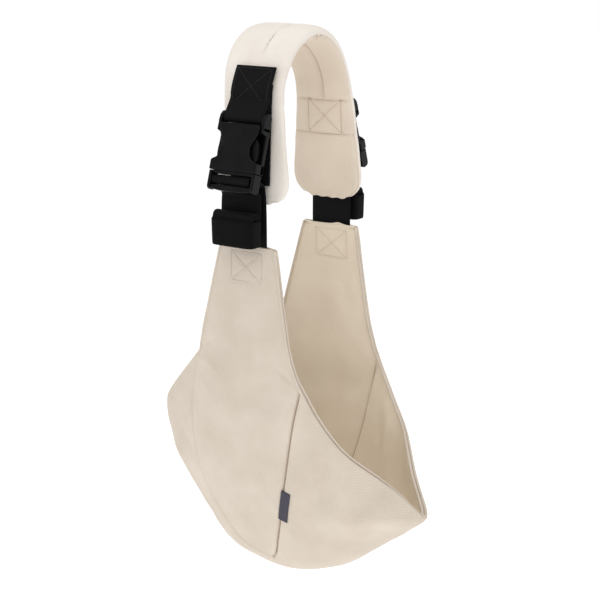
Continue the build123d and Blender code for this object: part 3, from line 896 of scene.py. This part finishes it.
def side_grid(side, rows=190, cols=84):
    """Middle surface of one side panel before its insets, with edge distances."""
    left_top, right_top, foot = JUNCTION["left"][1], JUNCTION["right"][1], SEAM_FOOT[1]
    above = np.linspace(ARM_TOP, left_top, 62)[:-1]
    between_tops = np.linspace(left_top, right_top, 13)[:-1]
    below = right_top + (foot - right_top) * (1 - (1 - np.linspace(0, 1, rows - 73)) ** 1.15)
    z = np.concatenate([above, between_tops, below])
    z[-1] = foot + 0.05
    t = (1 - np.cos(np.linspace(0, math.pi, cols))) / 2
    share = 0.7 * t + 0.3 * np.linspace(0, 1, cols)
    left, right = EDGE["left"](z), EDGE["right"](z)
    x = left[:, None] + (right - left)[:, None] * share[None, :]
    z = np.broadcast_to(z[:, None], x.shape)
    y = side * wall(x, z)
    return np.stack([x, y, z], -1), x - left[:, None], right[:, None] - x


def edge_depth(distance, z, hand, arm_depth, seam_depth):
    """How far a side panel turns in near its edge: a turned edge on the arm, a seam below."""
    top = JUNCTION[hand][1]
    on_arm = step_between(top - 2.0, top + 4.0, z)
    return on_arm * arm_depth * bump_at(distance, 4.0) + (1 - on_arm) * seam_depth * bump_at(distance, 1.5)


def make_side(name, side):
    grid, from_left, from_right = side_grid(side)
    inside = np.stack([grid[..., 0] * 0, grid[..., 1] * 0, grid[..., 2]], -1)
    normals = grid_normals(grid, inside)
    z = grid[..., 2]
    edges = edge_depth(from_left, z, "left", 1.2, 0.8) + edge_depth(from_right, z, "right", 1.2, 2.8)
    calm = 1 - np.exp(-np.minimum(from_left, from_right) / 7.0)
    folds = fold_relief(grid) * calm * step_between(ARM_TOP, ARM_TOP - 40, z)
    lines = box_lines(*BOX_STITCH[name])
    pucker = 0.55 * bump_at(off_lines(grid[..., 0], z, lines), 1.5)
    hem = 0.9 * bump_at(z - ARM_TOP, 2.2)
    shell = grid + normals * (folds - edges - pucker - hem - SHELL_THICK / 2)[..., None]
    panel = sheet_object(f"pouch_{name}_side", shell, normals, SHELL_THICK, uv=grid[..., [0, 2]])
    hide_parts(f"pouch_{name}_side_panel")
    finished(panel, POUCH_PLAIN, "pouch")
    gap = LINING_GAP - (LINING_GAP - EDGE_GAP) * bump_at(np.minimum(from_left, from_right), 9.0)
    gap = gap - 2.2 * bump_at(z - ARM_TOP, 5.0) * step_between(24.0, 30.0, np.abs(grid[..., 0]))
    seams = edge_depth(from_left, z, "left", 0.0, 1.3) + edge_depth(from_right, z, "right", 0.0, 1.3)
    inner = grid + normals * (0.8 * folds + seams - gap + pucker - SHELL_THICK / 2)[..., None]
    lining = sheet_object(f"pouch_{name}_side_inner", inner, normals, SHELL_THICK, uv=grid[..., [0, 2]])
    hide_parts(f"pouch_{name}_side_lining")
    finished(lining, LINING_PAINTED_LIGHT_CLOTH, "pouch")


def gusset_outline(hand):
    """Upper edge (tip, rim, junction, seam, foot) and keel (tip to seat) as (x, z) points."""
    way = 1 if hand == "right" else -1
    reach = RIGHT_REACH if hand == "right" else LEFT_REACH
    z = np.linspace(-380, -540, 1600)
    over = rim_height(hand, way * reach(z)) - z
    cross = np.argmax(over > 0)
    tip = np.array([way * reach(z[cross]), z[cross]])
    rim = np.linspace(tip, JUNCTION[hand], 60)
    rim[:, 1] -= RIM_SAG[hand] * np.sin(math.pi * np.linspace(0, 1, 60) ** 1.8)
    heights = np.linspace(JUNCTION[hand][1], SEAM_FOOT[1], 90)
    seam = np.stack([EDGE[hand](heights - 1e-6), heights], 1)
    keel_z = tip[1] + (-576.9 - tip[1]) * np.linspace(0, 1, 400)
    keel = np.stack([way * reach(keel_z), keel_z], 1)
    keel[-1] = (SEAM_FOOT[0], KEEL_FOOT)
    keel = keel[(keel[:, 0] * way >= SEAM_FOOT[0] * way) | (np.arange(400) == 399)]
    return rim, seam, keel


def gusset_grid(hand, columns=120, half=58):
    """Middle surface of one leg gusset, from its front edge under the keel to its rear edge."""
    rim, seam, keel = gusset_outline(hand)
    rim_count = int(columns * 0.46)
    keel_share = 0.34 if hand == "right" else 0.13
    shares = np.concatenate([
        np.linspace(0, keel_share, rim_count), np.linspace(keel_share, 1, columns - rim_count + 1)[1:]
    ])
    upper = np.vstack([
        resample(rim, np.linspace(0.003, 1, rim_count)),
        resample(seam, np.linspace(0, 1, columns - rim_count + 1)[1:]),
    ])
    lower = resample(keel, 0.005 + 0.995 * shares)
    sweep = (1 - (1 - np.linspace(0, 1, 400)) ** 2.4)[:, None]
    dense = np.linspace(0, 1, half) ** 1.25
    front = []
    for a, b in zip(upper, lower):
        x, z = (a + (b - a) * sweep).T
        front.append(resample(np.stack([x, -wall(x, z), z], 1), dense))
    front = np.array(front)
    rear = front[:, :-1][:, ::-1] * np.array([1, -1, 1])
    grid = np.concatenate([front, rear], axis=1)
    x, z = grid[..., 0], grid[..., 2]
    from_seam = off_lines(x, z, [[tuple(p) for p in seam[::3]] + [tuple(seam[-1])]])
    from_rim = off_lines(x, z, [[tuple(p) for p in rim[::3]] + [tuple(rim[-1])]])
    return grid, from_seam, from_rim


def make_gusset(hand):
    grid, from_seam, from_rim = gusset_grid(hand)
    inside = np.array([0, 0, -430.0])
    normals = grid_normals(grid, inside)
    seam = (2.6 if hand == "right" else 0.9) * bump_at(from_seam, 1.5)
    calm = 1 - np.exp(-np.minimum(from_seam, from_rim) / 9.0)
    folds = fold_relief(grid) * calm
    shell = grid + normals * (folds - seam - SHELL_THICK / 2)[..., None]
    panel = sheet_object(f"pouch_{hand}_gusset", shell, normals, SHELL_THICK)
    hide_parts(f"pouch_{hand}_leg_gusset")
    finished(panel, POUCH_TWILL, "pouch")
    gap = LINING_GAP - (LINING_GAP - EDGE_GAP) * bump_at(from_rim, 11.0)
    inner = grid + normals * (0.7 * folds + 1.2 * bump_at(from_seam, 1.8) - gap - SHELL_THICK / 2)[...,
            None]
    lining = sheet_object(f"pouch_{hand}_gusset_inner", inner, normals, SHELL_THICK)
    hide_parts(f"pouch_{hand}_gusset_lining")
    finished(lining, LINING_PAINTED_LIGHT_CLOTH, "pouch")


def make_seam_shadow_cords():
    """A painted shadow: a dark cord laid at the bottom of each crisp seam between side panel and right
    gusset.
    """
    _, seam, _ = gusset_outline("right")
    x, z = resample(seam, np.linspace(0.015, 1, 150)).T
    for name, side in SIDES.items():
        for label, sunk in (("outer", 1.7), ("inner", LINING_GAP + SHELL_THICK - 1.0)):
            run = np.stack([x, side * (wall(x, z) - sunk), z], 1)
            size = step_between(0, 5, np.arange(150)) * step_between(149, 135, np.arange(150)) * 0.7 + 0.3
            shade_line = sweep_object(f"pouch_{name}_{label}_seam_fold", run, round_section(0.4, 8),
                                (0, side, 0), size)
            finished(shade_line, SEAM_SHADE, "pouch")


RIM_POINTS = 420


def rim_path(hand, inset):
    """The edge that runs down one arm, round the rim's tip and up the other arm."""
    rim, _, _ = gusset_outline(hand)
    arm = RIGHT_ARM if hand == "right" else LEFT_ARM
    heights = np.linspace(ARM_TOP - 1.0, JUNCTION[hand][1], 60)
    line = np.vstack([np.stack([arm(heights), heights], 1), rim[::-1][1:]])
    line = resample(line, np.linspace(0, 1, 170))
    x, z = line.T
    front = np.stack([x, -wall(x, z), z], 1)
    loop = np.vstack([front, front[:-1][::-1] * np.array([1, -1, 1])])
    loop = resample(loop, np.linspace(0, 1, RIM_POINTS))
    last = RIM_POINTS - 1
    near_tip = np.abs(np.arange(RIM_POINTS) - last / 2) * arc_lengths(loop)[-1] / last
    eased = loop.copy()
    for _ in range(5):
        eased[1:-1] = (eased[:-2] + 2 * eased[1:-1] + eased[2:]) / 4
    mix = step_between(9.0, 3.0, near_tip)[:, None]
    loop = eased * mix + loop * (1 - mix)
    reach = np.abs(RIGHT_REACH(loop[:, 2]) if hand == "right" else LEFT_REACH(loop[:, 2]))
    depth = HALF_DEPTH(loop[:, 2])
    reach = np.maximum(reach, np.abs(loop[:, 0]))
    way = 1 if hand == "right" else -1
    grad_x = way * (np.abs(loop[:, 0]) / reach) ** (SQUARE_X - 1) / reach * SQUARE_X
    grad_y = np.sign(loop[:, 1]) * (np.abs(loop[:, 1]) / depth) ** (SQUARE_Y - 1) / depth * SQUARE_Y
    outward = np.stack([grad_x, grad_y, grad_x * 0], 1)
    outward /= np.linalg.norm(outward, axis=1, keepdims=True)
    return loop - outward * inset, outward


def make_rim(hand):
    """Two rolled edges with a groove between them."""
    outer, outward = rim_path(hand, ROLL_R)
    size = 1 + 0.10 * ripple(outer, 12.0, 6)
    taper = step_between(0, 6, np.arange(len(outer))) * step_between(0, 6, np.arange(len(outer))[::-1])
    size = size * (0.7 + 0.3 * taper)
    shell_roll = sweep_object("shell_roll", outer, round_section(ROLL_R, 12), outward, size)
    inner, _ = rim_path(hand, ROLL_R + EDGE_GAP)
    beyond = np.cross(np.gradient(inner, axis=0), outward)
    beyond /= np.linalg.norm(beyond, axis=1, keepdims=True)
    beyond *= np.sign(beyond[:, :1]) * (1 if hand == "right" else -1)
    top = JUNCTION[hand][1]
    proud = LINING_PROUD * (0.4 + 0.6 * step_between(top + 12.0, top - 8.0, inner[:, 2:]))
    inner = inner + beyond * proud
    lining_roll = sweep_object("lining_roll", inner, round_section(ROLL_R * 0.92, 12), outward, size)
    middle, _ = rim_path(hand, ROLL_R + EDGE_GAP / 2)
    web = sweep_object("groove", middle - np.array([0, 0, 0.9]), round_section(0.9, 8), outward, size * 0.9)
    piece = join([shell_roll, lining_roll, web], f"pouch_{hand}_rim")
    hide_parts(f"pouch_{hand}_rim_binding")
    finished(piece, POUCH_PLAIN, "pouch")


def make_arm_tops(name, side):
    """The folded top edge of an arm, and its box stitching on both faces."""
    xs = np.linspace(-34.0, 34.0, 60)
    for label, inset, material, slot in (("outer", ROLL_R, POUCH_PLAIN, "pouch_fabric"),
                                         ("inner", LINING_GAP + 0.4, LINING_PAINTED_LIGHT_CLOTH, "lining")):
        inset_here = inset + (2.4 * step_between(24, 34, np.abs(xs)) * (-1 if label == "inner" else 0.2))
        y = side * (wall(xs, xs * 0 + ARM_TOP) - inset_here)
        wave = 0.5 * np.sin(xs / 9.0) + 1.6 * bump_at(xs - 12, 6) * (label == "inner")
        path = np.stack([xs, y, ARM_TOP - 0.8 + wave], 1)
        hem = sweep_object(f"{name}_arm_hem_{label}", path, round_section(1.15, 10), (0, side, 0))
        finished(hem, material, "pouch")
    lines = box_lines(*BOX_STITCH[name])
    for label, inset in (("outer", 0.35), ("inner", LINING_GAP + SHELL_THICK - 0.4)):
        paths, ups = [], []
        for line in lines:
            x, z = resample(np.array(line), np.linspace(0, 1, 40)).T
            paths.append(np.stack([x, side * (wall(x, z) - inset), z], 1))
            ups.append((0, side if label == "outer" else -side, 0))
        rows = stitches(f"{name}_arm_stitches_{label}", paths, ups)
        finished(rows, ARM_THREAD, "pouch")


def make_tag():
    """Small blank folded label caught in the front right seam."""
    heights = np.linspace(-460.0, -497.0, 12)
    profile = np.array([(-2.0, 0.0), (3.0, 0.15), (7.0, 0.1), (10.2, -0.1), (11.0, -0.55), (10.2, -1.0),
                        (7.0, -1.0),
                        (3.0, -1.0), (-2.0, -0.9)])
    profile = spline(profile, 0.6)
    profile[:, 0] *= 0.82
    grid = []
    for z in heights:
        seam_x = EDGE["right"](z) + 0.6
        x = seam_x + profile[:, 0]
        y = -wall(np.full(len(x), seam_x + 4.0), np.full(len(x), z)) - 1.3 + profile[:,
                1] * -1.0 + 0.05 * profile[:, 0]
        grid.append(np.stack([x, y, z - 0.28 * profile[:, 0]], 1))
    grid = np.array(grid)
    normals = grid_normals(grid, grid.mean(axis=(0, 1)))
    tag = sheet_object("blank_side_tag", grid, normals, 0.35)
    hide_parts("side_tag")
    finished(tag, TAG_CLOTH, "pouch")


# ---------- webbing ----------
ROLL_Y = 95.2                   # the rolled spare strap's middle, out from the middle plane
ROLL_Z = -177.0
BUCKLE_SHIFT = {-1.0: 3.2, 1.0: -3.0}     # the buckles and anchors hang a little off the middle


def limb_face(z, offset):
    turn = math.radians(PAD_SPREAD)
    return -((PAD_OUTER_R + offset) / math.cos(turn) + (-PAD_INNER_R - z) * math.tan(turn)), z


def arc_face(angle, offset):
    """A point off the arch's outer face; the angle is above the horizontal, in degrees."""
    a = math.radians(180 - angle)
    radius = PAD_OUTER_R + offset
    return radius * math.cos(a), -PAD_INNER_R + radius * math.sin(a)


def tilted(points):
    """Buckle-frame (x, y, z) points in the row frame, front side."""
    points = np.asarray(points, float)
    a = math.radians(-BUCKLE_TILT)
    y = points[..., 1] * math.cos(a) - points[..., 2] * math.sin(a) - BAR_Y
    z = points[..., 1] * math.sin(a) + points[..., 2] * math.cos(a) + BAR_Z
    return np.stack([points[..., 0], y, z], -1)


def tilted_yz(y, z):
    return tuple(tilted([0.0, y, z])[1:])


def strap(name, line, side, spacing=1.6):
    """Flat webbing along a smooth line of (y, z) points."""
    flat = spline(line, spacing)
    path = np.column_stack([np.zeros(len(flat)), flat])
    return sweep_object(name, mirrored(path, side), strap_section(WEB_WIDTH, WEB_THICK), (1, 0, 0))


def make_anchor(name, side):
    loop = [tilted_yz(4.2 * math.cos(math.radians(a)), 4.2 * math.sin(math.radians(a))) for a in range(165,
            365, 25)]
    front = [arc_face(28.6, 1.0), arc_face(24, 1.2), arc_face(18, 1.9), arc_face(12, 3.0), arc_face(6, 3.9),
             arc_face(1, 4.6)]
    back = [limb_face(-60, 5.6), limb_face(-53, 3.4), arc_face(3, 2.2)]
    shift = BUCKLE_SHIFT[side]
    band = strap(f"{name}_anchor_band", front + loop + back, side)
    band.data.transform(Matrix.Translation((shift * MM, 0, 0)))
    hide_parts(f"{name}_anchor_webbing")
    finished(band, BLACK_WEB, "shoulder_pad")
    flap_line = [arc_face(14, 0.9), arc_face(6, 0.9)] + [limb_face(z, 0.95) for z in (-60, -85, -110, -134)]
    flap = strap(f"{name}_guard_band", flap_line, side)
    flap.data.transform(Matrix.Translation((shift * MM, 0, 0)))
    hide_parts(f"{name}_guard_flap")
    finished(flap, BLACK_WEB, "shoulder_pad")
    lines = [
        [(-21.5, 26.5), (21.5, 26.5), (21.5, -3.5), (-21.5, -3.5), (-21.5, 26.5)],
        [(-21.5, 26.5), (21.5, -3.5)],
        [(21.5, 26.5), (-21.5, -3.5)],
    ]
    lift = smooth_curve([(28.6, 1.0), (24, 1.2), (18, 1.9), (12, 3.0), (6, 3.9), (1, 4.6), (-6, 6.2)])
    paths, ups = [], []
    for line in lines:
        x, angle = resample(np.array(line, float), np.linspace(0, 1, 60)).T
        radians = np.radians(180 - angle)
        radius = PAD_OUTER_R + lift(angle) + WEB_THICK / 2
        direction = np.stack([x * 0, np.cos(radians), np.sin(radians)], 1)
        points = direction * radius[:, None]
        points[:, 0] = x + shift
        points[:, 2] -= PAD_INNER_R
        paths.append(mirrored(points, side))
        ups.append(mirrored(direction, side))
    rows = stitches(f"{name}_anchor_stitches", paths, ups, pitch=2.6, radius=0.36, lift=0.1)
    finished(rows, BLACK_THREAD, "shoulder_pad")


def roll_line():
    """The spare strap: turned over the clip's bar, down behind its end, and rolled up flat."""
    rise = [(-77.6, -147.0), (-78.4, -140.0), (-80.6, -133.0)]
    turn = [tilted_yz(y, z) for y, z in (
        (5.6, -60.2), (1.0, -59.6), (-3.4, -60.4), (-4.7, -63.6), (-3.9, -66.9), (0.6, -68.0),
        (5.6, -67.6))]
    fall = [(-86.6, -143.0), (-86.2, -150.0), (-86.6, -156.5)]
    coil = []
    turns, per_turn = 3.6, 14
    for k in range(int(turns * per_turn)):
        share = k / per_turn
        angle = math.pi + 2 * math.pi * share + 0.2
        half_y = 8.3 - 1.95 * share
        half_z = 18.2 - 2.3 * share
        c, s = math.cos(angle), math.sin(angle)
        y = half_y * math.copysign(abs(c) ** 0.6, c)
        z = half_z * math.copysign(abs(s) ** 0.75, s)
        coil.append((-ROLL_Y - y, ROLL_Z + z))
    return rise + turn + fall + coil[1:]


def make_spare(name, side):
    roll = strap(f"{name}_spare_strap", roll_line(), side, spacing=1.1)
    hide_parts(f"{name}_strap_and_roll")
    finished(roll, BLACK_WEB, f"{name}_clip")


def make_keeper(name, side):
    """Elastic loop round the roll: rounded corners, slightly tapered, one seam nub."""
    turn = np.arange(96) * 2 * math.pi / 96
    heights = np.linspace(0, 1, 15)
    rings_out, rings_in = [], []
    for t in heights:
        lip = 0.35 * (bump_at(t, 0.05) + bump_at(1 - t, 0.05))
        half_x = 26.9 - 0.7 * t
        half_y = 10.7 - 0.3 * t
        for rings, grow in ((rings_out, -lip), (rings_in, -1.2 + lip * 0.3)):
            c, s = np.cos(turn), np.sin(turn)
            x = (half_x + grow) * np.sign(c) * np.abs(c) ** 0.34
            y = (half_y + grow) * np.sign(s) * np.abs(s) ** 0.42
            z = -167.1 - 27.8 * t - 0.8 * (np.abs(c) > 0.9) * (1 - t) + 0 * x
            rings.append(np.stack([x, y - ROLL_Y, z], 1))
    grid = np.array(rings_out + rings_in[::-1] + rings_out[:1])
    faces, corners = quads(len(grid), 96, wrap=True)
    around = arc_lengths(np.vstack([grid[0], grid[0, :1]]))
    uvs = [(around[b] if b < 97 else 0, a * 2.0) for a, b in corners]
    band = mesh_object(f"{name}_keeper_band", mirrored(grid.reshape(-1, 3), side), faces, uvs)
    nub_path = spline([(-26.6, -95.0, -167.5), (-28.6, -95.0, -168.1), (-28.8, -95.0, -169.7),
                       (-26.6, -95.0, -170.3)], 0.4)
    nub = sweep_object("nub", mirrored(nub_path, side), round_section(0.75, 8), (0, 1, 0))
    band = join([band, nub], f"{name}_keeper_band")
    shape = bmesh.new()
    shape.from_mesh(band.data)
    bmesh.ops.remove_doubles(shape, verts=shape.verts, dist=1e-6)
    bmesh.ops.recalc_face_normals(shape, faces=shape.faces)
    shape.to_mesh(band.data)
    shape.free()
    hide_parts(f"{name}_elastic_keeper")
    finished(band, BLACK_ELASTIC, f"{name}_keeper")


def make_load_strap(name, side):
    """Load-bearing run from the clip down into the arm."""
    line = [(-77.6, -143.5), (-76.6, -160.0), (-76.3, -180.0), (-76.3, -199.0), (-76.8, -218.0),
            (-77.2, -235.0)]
    run = strap(f"{name}_load_run", line, side)
    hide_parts(f"{name}_load_strap")
    finished(run, BLACK_WEB, None)
    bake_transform(run)


# ---------- buckle ----------
def plate(outline, low, high, bevel, axis="y"):
    """A moulded plate: an outline extruded between two levels, all its edges rounded."""
    shape = bmesh.new()
    if axis == "y":
        base = [shape.verts.new((a * MM, low * MM, b * MM)) for a, b in outline]
        depth = Vector((0, (high - low) * MM, 0))
    else:
        base = [shape.verts.new((low * MM, a * MM, b * MM)) for a, b in outline]
        depth = Vector(((high - low) * MM, 0, 0))
    face = shape.faces.new(base)
    grown = bmesh.ops.extrude_face_region(shape, geom=[face])
    bmesh.ops.translate(shape, verts=[v for v in grown["geom"] if isinstance(v, bmesh.types.BMVert)],
                        vec=depth)
    bmesh.ops.recalc_face_normals(shape, faces=shape.faces)
    sharp = [e for e in shape.edges if e.calc_face_angle(0) > math.radians(35)]
    bmesh.ops.bevel(shape, geom=sharp, offset=bevel * MM, segments=3, profile=0.5, affect="EDGES",
                    clamp_overlap=True)
    mesh = bpy.data.meshes.new("plate")
    shape.to_mesh(mesh)
    shape.free()
    mesh.polygons.foreach_set("use_smooth", [True] * len(mesh.polygons))
    piece = bpy.data.objects.new("plate", mesh)
    bpy.context.scene.collection.objects.link(piece)
    return piece


def both_sides(right_half):
    """A symmetric outline from its right half, listed from top to bottom."""
    return right_half + [(-x, z) for x, z in reversed(right_half)]


def place_moulding(pieces, name, side, cad_nodes, body):
    """Join a moulding's plates, tilt it into place, mirror it for the rear, and give it its finish."""
    piece = join(pieces, name)
    shift = BUCKLE_SHIFT[side]
    place = Matrix.Translation((shift * MM, -BAR_Y * MM, BAR_Z * MM))
    piece.data.transform(place @ Matrix.Rotation(math.radians(-BUCKLE_TILT), 4, "X"))
    if side > 0:
        piece.data.transform(Matrix.Scale(-1, 4, (0, 1, 0)))
        piece.data.flip_normals()
    weighted = piece.modifiers.new("WeightedNormal", "WEIGHTED_NORMAL")
    weighted.keep_sharp = True
    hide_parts(*cad_nodes)
    return finished(piece, BLACK_PLASTIC, body)


def bar_piece(z, radius, half):
    path = [(x, 0.0, z) for x in (-half, -half + 0.5, 0.0, half - 0.5, half)]
    return sweep_object("bar", path, round_section(radius, 20), (0, 0, 1))


def make_socket(name, side):
    panel = [(23.8, -6.2), (25.4, -8.6), (24.4, -13.0)]
    panel += [(22.2, -18.5), (19.8, -23.5), (18.1, -27.5), (17.4, -31.0), (17.6, -34.5), (18.9, -38.0),
              (21.3, -41.2),
              (24.6, -43.4), (28.9, -44.6), (28.9, -54.9)]
    front = plate(both_sides(panel), -8.0, -5.6, 0.8)
    back = [(24.5, -11.2), (28.9, -11.2), (28.6, -22.0), (27.4, -30.0), (28.4, -40.0), (28.9, -46.0),
            (28.9, -54.9)]
    rear = plate(both_sides(back), 3.7, 6.0, 0.7)
    parts = [front, rear]
    for hand in (-1, 1):
        ear = [(-5.6, -12.0), (-6.6, -4.0), (-5.6, 2.0), (-3.0, 5.8), (0.0, 7.0), (3.0, 6.2), (5.4, 3.2),
               (6.0, -2.0), (6.0, -12.0)]
        parts.append(plate(ear, hand * 25.3, hand * 28.9, 0.9, axis="x"))
        rail = [(-6.2, -8.0), (6.0, -8.0), (6.0, -54.9), (1.2, -54.9), (1.2, -46.0), (1.2, -16.0),
                (-6.2, -14.0)]
        parts.append(plate(rail, hand * 26.3, hand * 28.9, 0.6, axis="x"))
        foot = [(-7.4, -44.8), (6.0, -44.8), (6.0, -54.9), (-7.4, -54.9)]
        parts.append(plate(foot, hand * 25.3, hand * 28.9, 0.7, axis="x"))
        ridge = spline([(hand * 17.2, -8.05, -30.0), (hand * 18.8, -8.15, -38.2),
                        (hand * 22.0, -8.15, -42.2),
                        (hand * 26.5, -8.05, -44.2)], 0.8)
        parts.append(sweep_object("ridge", ridge, round_section(0.5, 8), (0, 1, 0)))
    parts.append(bar_piece(0.0, 3.0, 28.0))
    place_moulding(parts, f"{name}_socket", side, [f"{name}_buckle_socket"], "shoulder_pad")


def make_clip(name, side):
    parts = []
    for hand in (-1, 1):
        rail = [(-6.8, -55.4), (4.8, -55.4), (4.8, -71.0), (3.6, -73.6), (1.0, -75.0), (-3.4, -75.0),
                (-5.8, -73.8), (-6.8, -71.4)]
        parts.append(plate(rail, hand * 25.2, hand * 28.9, 0.8, axis="x"))
        parts.append(plate([(-6.9, -56.0), (-5.9, -56.0), (-5.9, -73.0), (-6.9, -72.0)], hand * 26.4,
                           hand * 27.6, 0.35, axis="x"))
    bar = both_sides([(28.6, -69.6), (28.8, -71.5), (26.0, -73.8), (18.0, -75.0), (8.0, -75.6)])
    parts.append(plate(bar, -5.4, 3.6, 1.3))
    parts.append(plate([(-25.6, -55.4), (25.6, -55.4), (25.6, -58.2), (-25.6, -58.2)], -5.0, 3.4, 0.6))
    parts.append(bar_piece(-63.5, 2.0, 26.0))
    parts.append(plate([(-25.0, -50.6), (25.0, -50.6), (25.0, -56.5), (-25.0, -56.5)], -5.2, 3.2, 0.5))
    parts.append(plate([(-4.0, -22.0), (4.0, -22.0), (4.2, -51.5), (-4.2, -51.5)], -3.7, 1.7, 0.8))
    place_moulding(parts, f"{name}_clip_moulding", side, [f"{name}_clip_frame"], f"{name}_clip")
    for hand, way in (("left", -1), ("right", 1)):
        outline = [(14.5, -49.6), (21.5, -49.6), (22.6, -46.0), (24.2, -42.5), (25.0, -38.0),
                   (25.05, -32.0),
                   (24.6, -26.5), (23.0, -22.0), (20.5, -19.0), (17.6, -18.2), (16.6, -20.0),
                   (17.2, -30.0), (16.2, -40.0)]
        arm = plate([(way * x, z) for x, z in outline], -4.7, 2.7, 1.1)
        body = f"{name}_{hand}_prong_arm"
        place_moulding([arm], f"{name}_{hand}_prong_moulding", side, [f"{name}_{hand}_prong"], body)


# ---------- build ----------
make_pad()
for side_name, side_way in SIDES.items():
    make_side(side_name, side_way)
    make_arm_tops(side_name, side_way)
    make_anchor(side_name, side_way)
    make_spare(side_name, side_way)
    make_keeper(side_name, side_way)
    make_load_strap(side_name, side_way)
    make_socket(side_name, side_way)
    make_clip(side_name, side_way)
for hand_name in ("right", "left"):
    make_gusset(hand_name)
    make_rim(hand_name)
make_seam_shadow_cords()
make_tag()


# ---------- floor, lights, camera ----------
FLOOR_Z = -0.72
AMBIENT = 0.62
VIEW_TURN, VIEW_RISE, VIEW_DISTANCE = 35.5, 14.0, 1.7
VIEW_TARGET = (0.012, 0.0, -0.270)


def make_stage():
    finish = Finish("pale_floor", 0.9)
    place = finish.node("ShaderNodeTexCoord").outputs["Object"]
    finish.link(
        finish.tones(finish.noise(place, 3.0), [(0.3, (250, 250, 250)), (0.7, (253, 253, 253))]),
        finish.shader.inputs["Base Color"],
    )
    finish.shader.inputs["Emission Color"].default_value = (1.0, 1.0, 1.0, 1.0)
    finish.shader.inputs["Emission Strength"].default_value = 0.42
    far = 9000
    corners = [(-far, -far, 0), (far, -far, 0), (far, far, 0), (-far, far, 0)]
    floor = mesh_object("floor", corners, [[0, 1, 2, 3]])
    floor.location.z = FLOOR_Z
    floor.data.materials.append(finish.material)


def area_light(name, place, target, size, power):
    lamp = bpy.data.lights.new(name, "AREA")
    lamp.shape = "DISK"
    lamp.size = size
    lamp.energy = power
    holder = bpy.data.objects.new(name, lamp)
    holder.location = place
    holder.rotation_euler = (Vector(target) - Vector(place)).to_track_quat("-Z", "Y").to_euler()
    bpy.context.scene.collection.objects.link(holder)


def make_world():
    """White light all round, and plain white behind the sling where only the camera looks."""
    world = bpy.data.worlds.new("studio")
    world.use_nodes = True
    nodes, links = world.node_tree.nodes, world.node_tree.links
    lit, seen = nodes["Background"], nodes.new("ShaderNodeBackground")
    for background, strength in ((lit, AMBIENT), (seen, 1.0)):
        background.inputs["Color"].default_value = (1.0, 1.0, 1.0, 1.0)
        background.inputs["Strength"].default_value = strength
    choice, rays = nodes.new("ShaderNodeMixShader"), nodes.new("ShaderNodeLightPath")
    links.new(rays.outputs["Is Camera Ray"], choice.inputs[0])
    links.new(lit.outputs[0], choice.inputs[1])
    links.new(seen.outputs[0], choice.inputs[2])
    links.new(choice.outputs[0], nodes["World Output"].inputs["Surface"])
    bpy.context.scene.world = world


def make_camera():
    turn, rise = math.radians(VIEW_TURN), math.radians(VIEW_RISE)
    target = Vector(VIEW_TARGET)
    back = Vector((math.sin(turn) * math.cos(rise), -math.cos(turn) * math.cos(rise), math.sin(rise)))
    lens = bpy.data.cameras.new("camera")
    lens.lens = 95.0
    lens.sensor_width = 36.0
    camera = bpy.data.objects.new("camera", lens)
    camera.location = target + back * VIEW_DISTANCE
    camera.rotation_euler = (-back).to_track_quat("-Z", "Y").to_euler()
    bpy.context.scene.collection.objects.link(camera)
    bpy.context.scene.camera = camera


make_stage()
area_light("key", (0.9, -1.5, 1.4), (0, 0, -0.25), 1.4, 10.0)
area_light("fill", (-1.8, -0.6, 0.6), (0, 0, -0.3), 1.6, 3.0)
area_light("top", (0.1, 0.0, 1.9), (0, 0, -0.2), 1.4, 10.0)
make_world()
bpy.context.scene.view_settings.view_transform = "Standard"
make_camera()
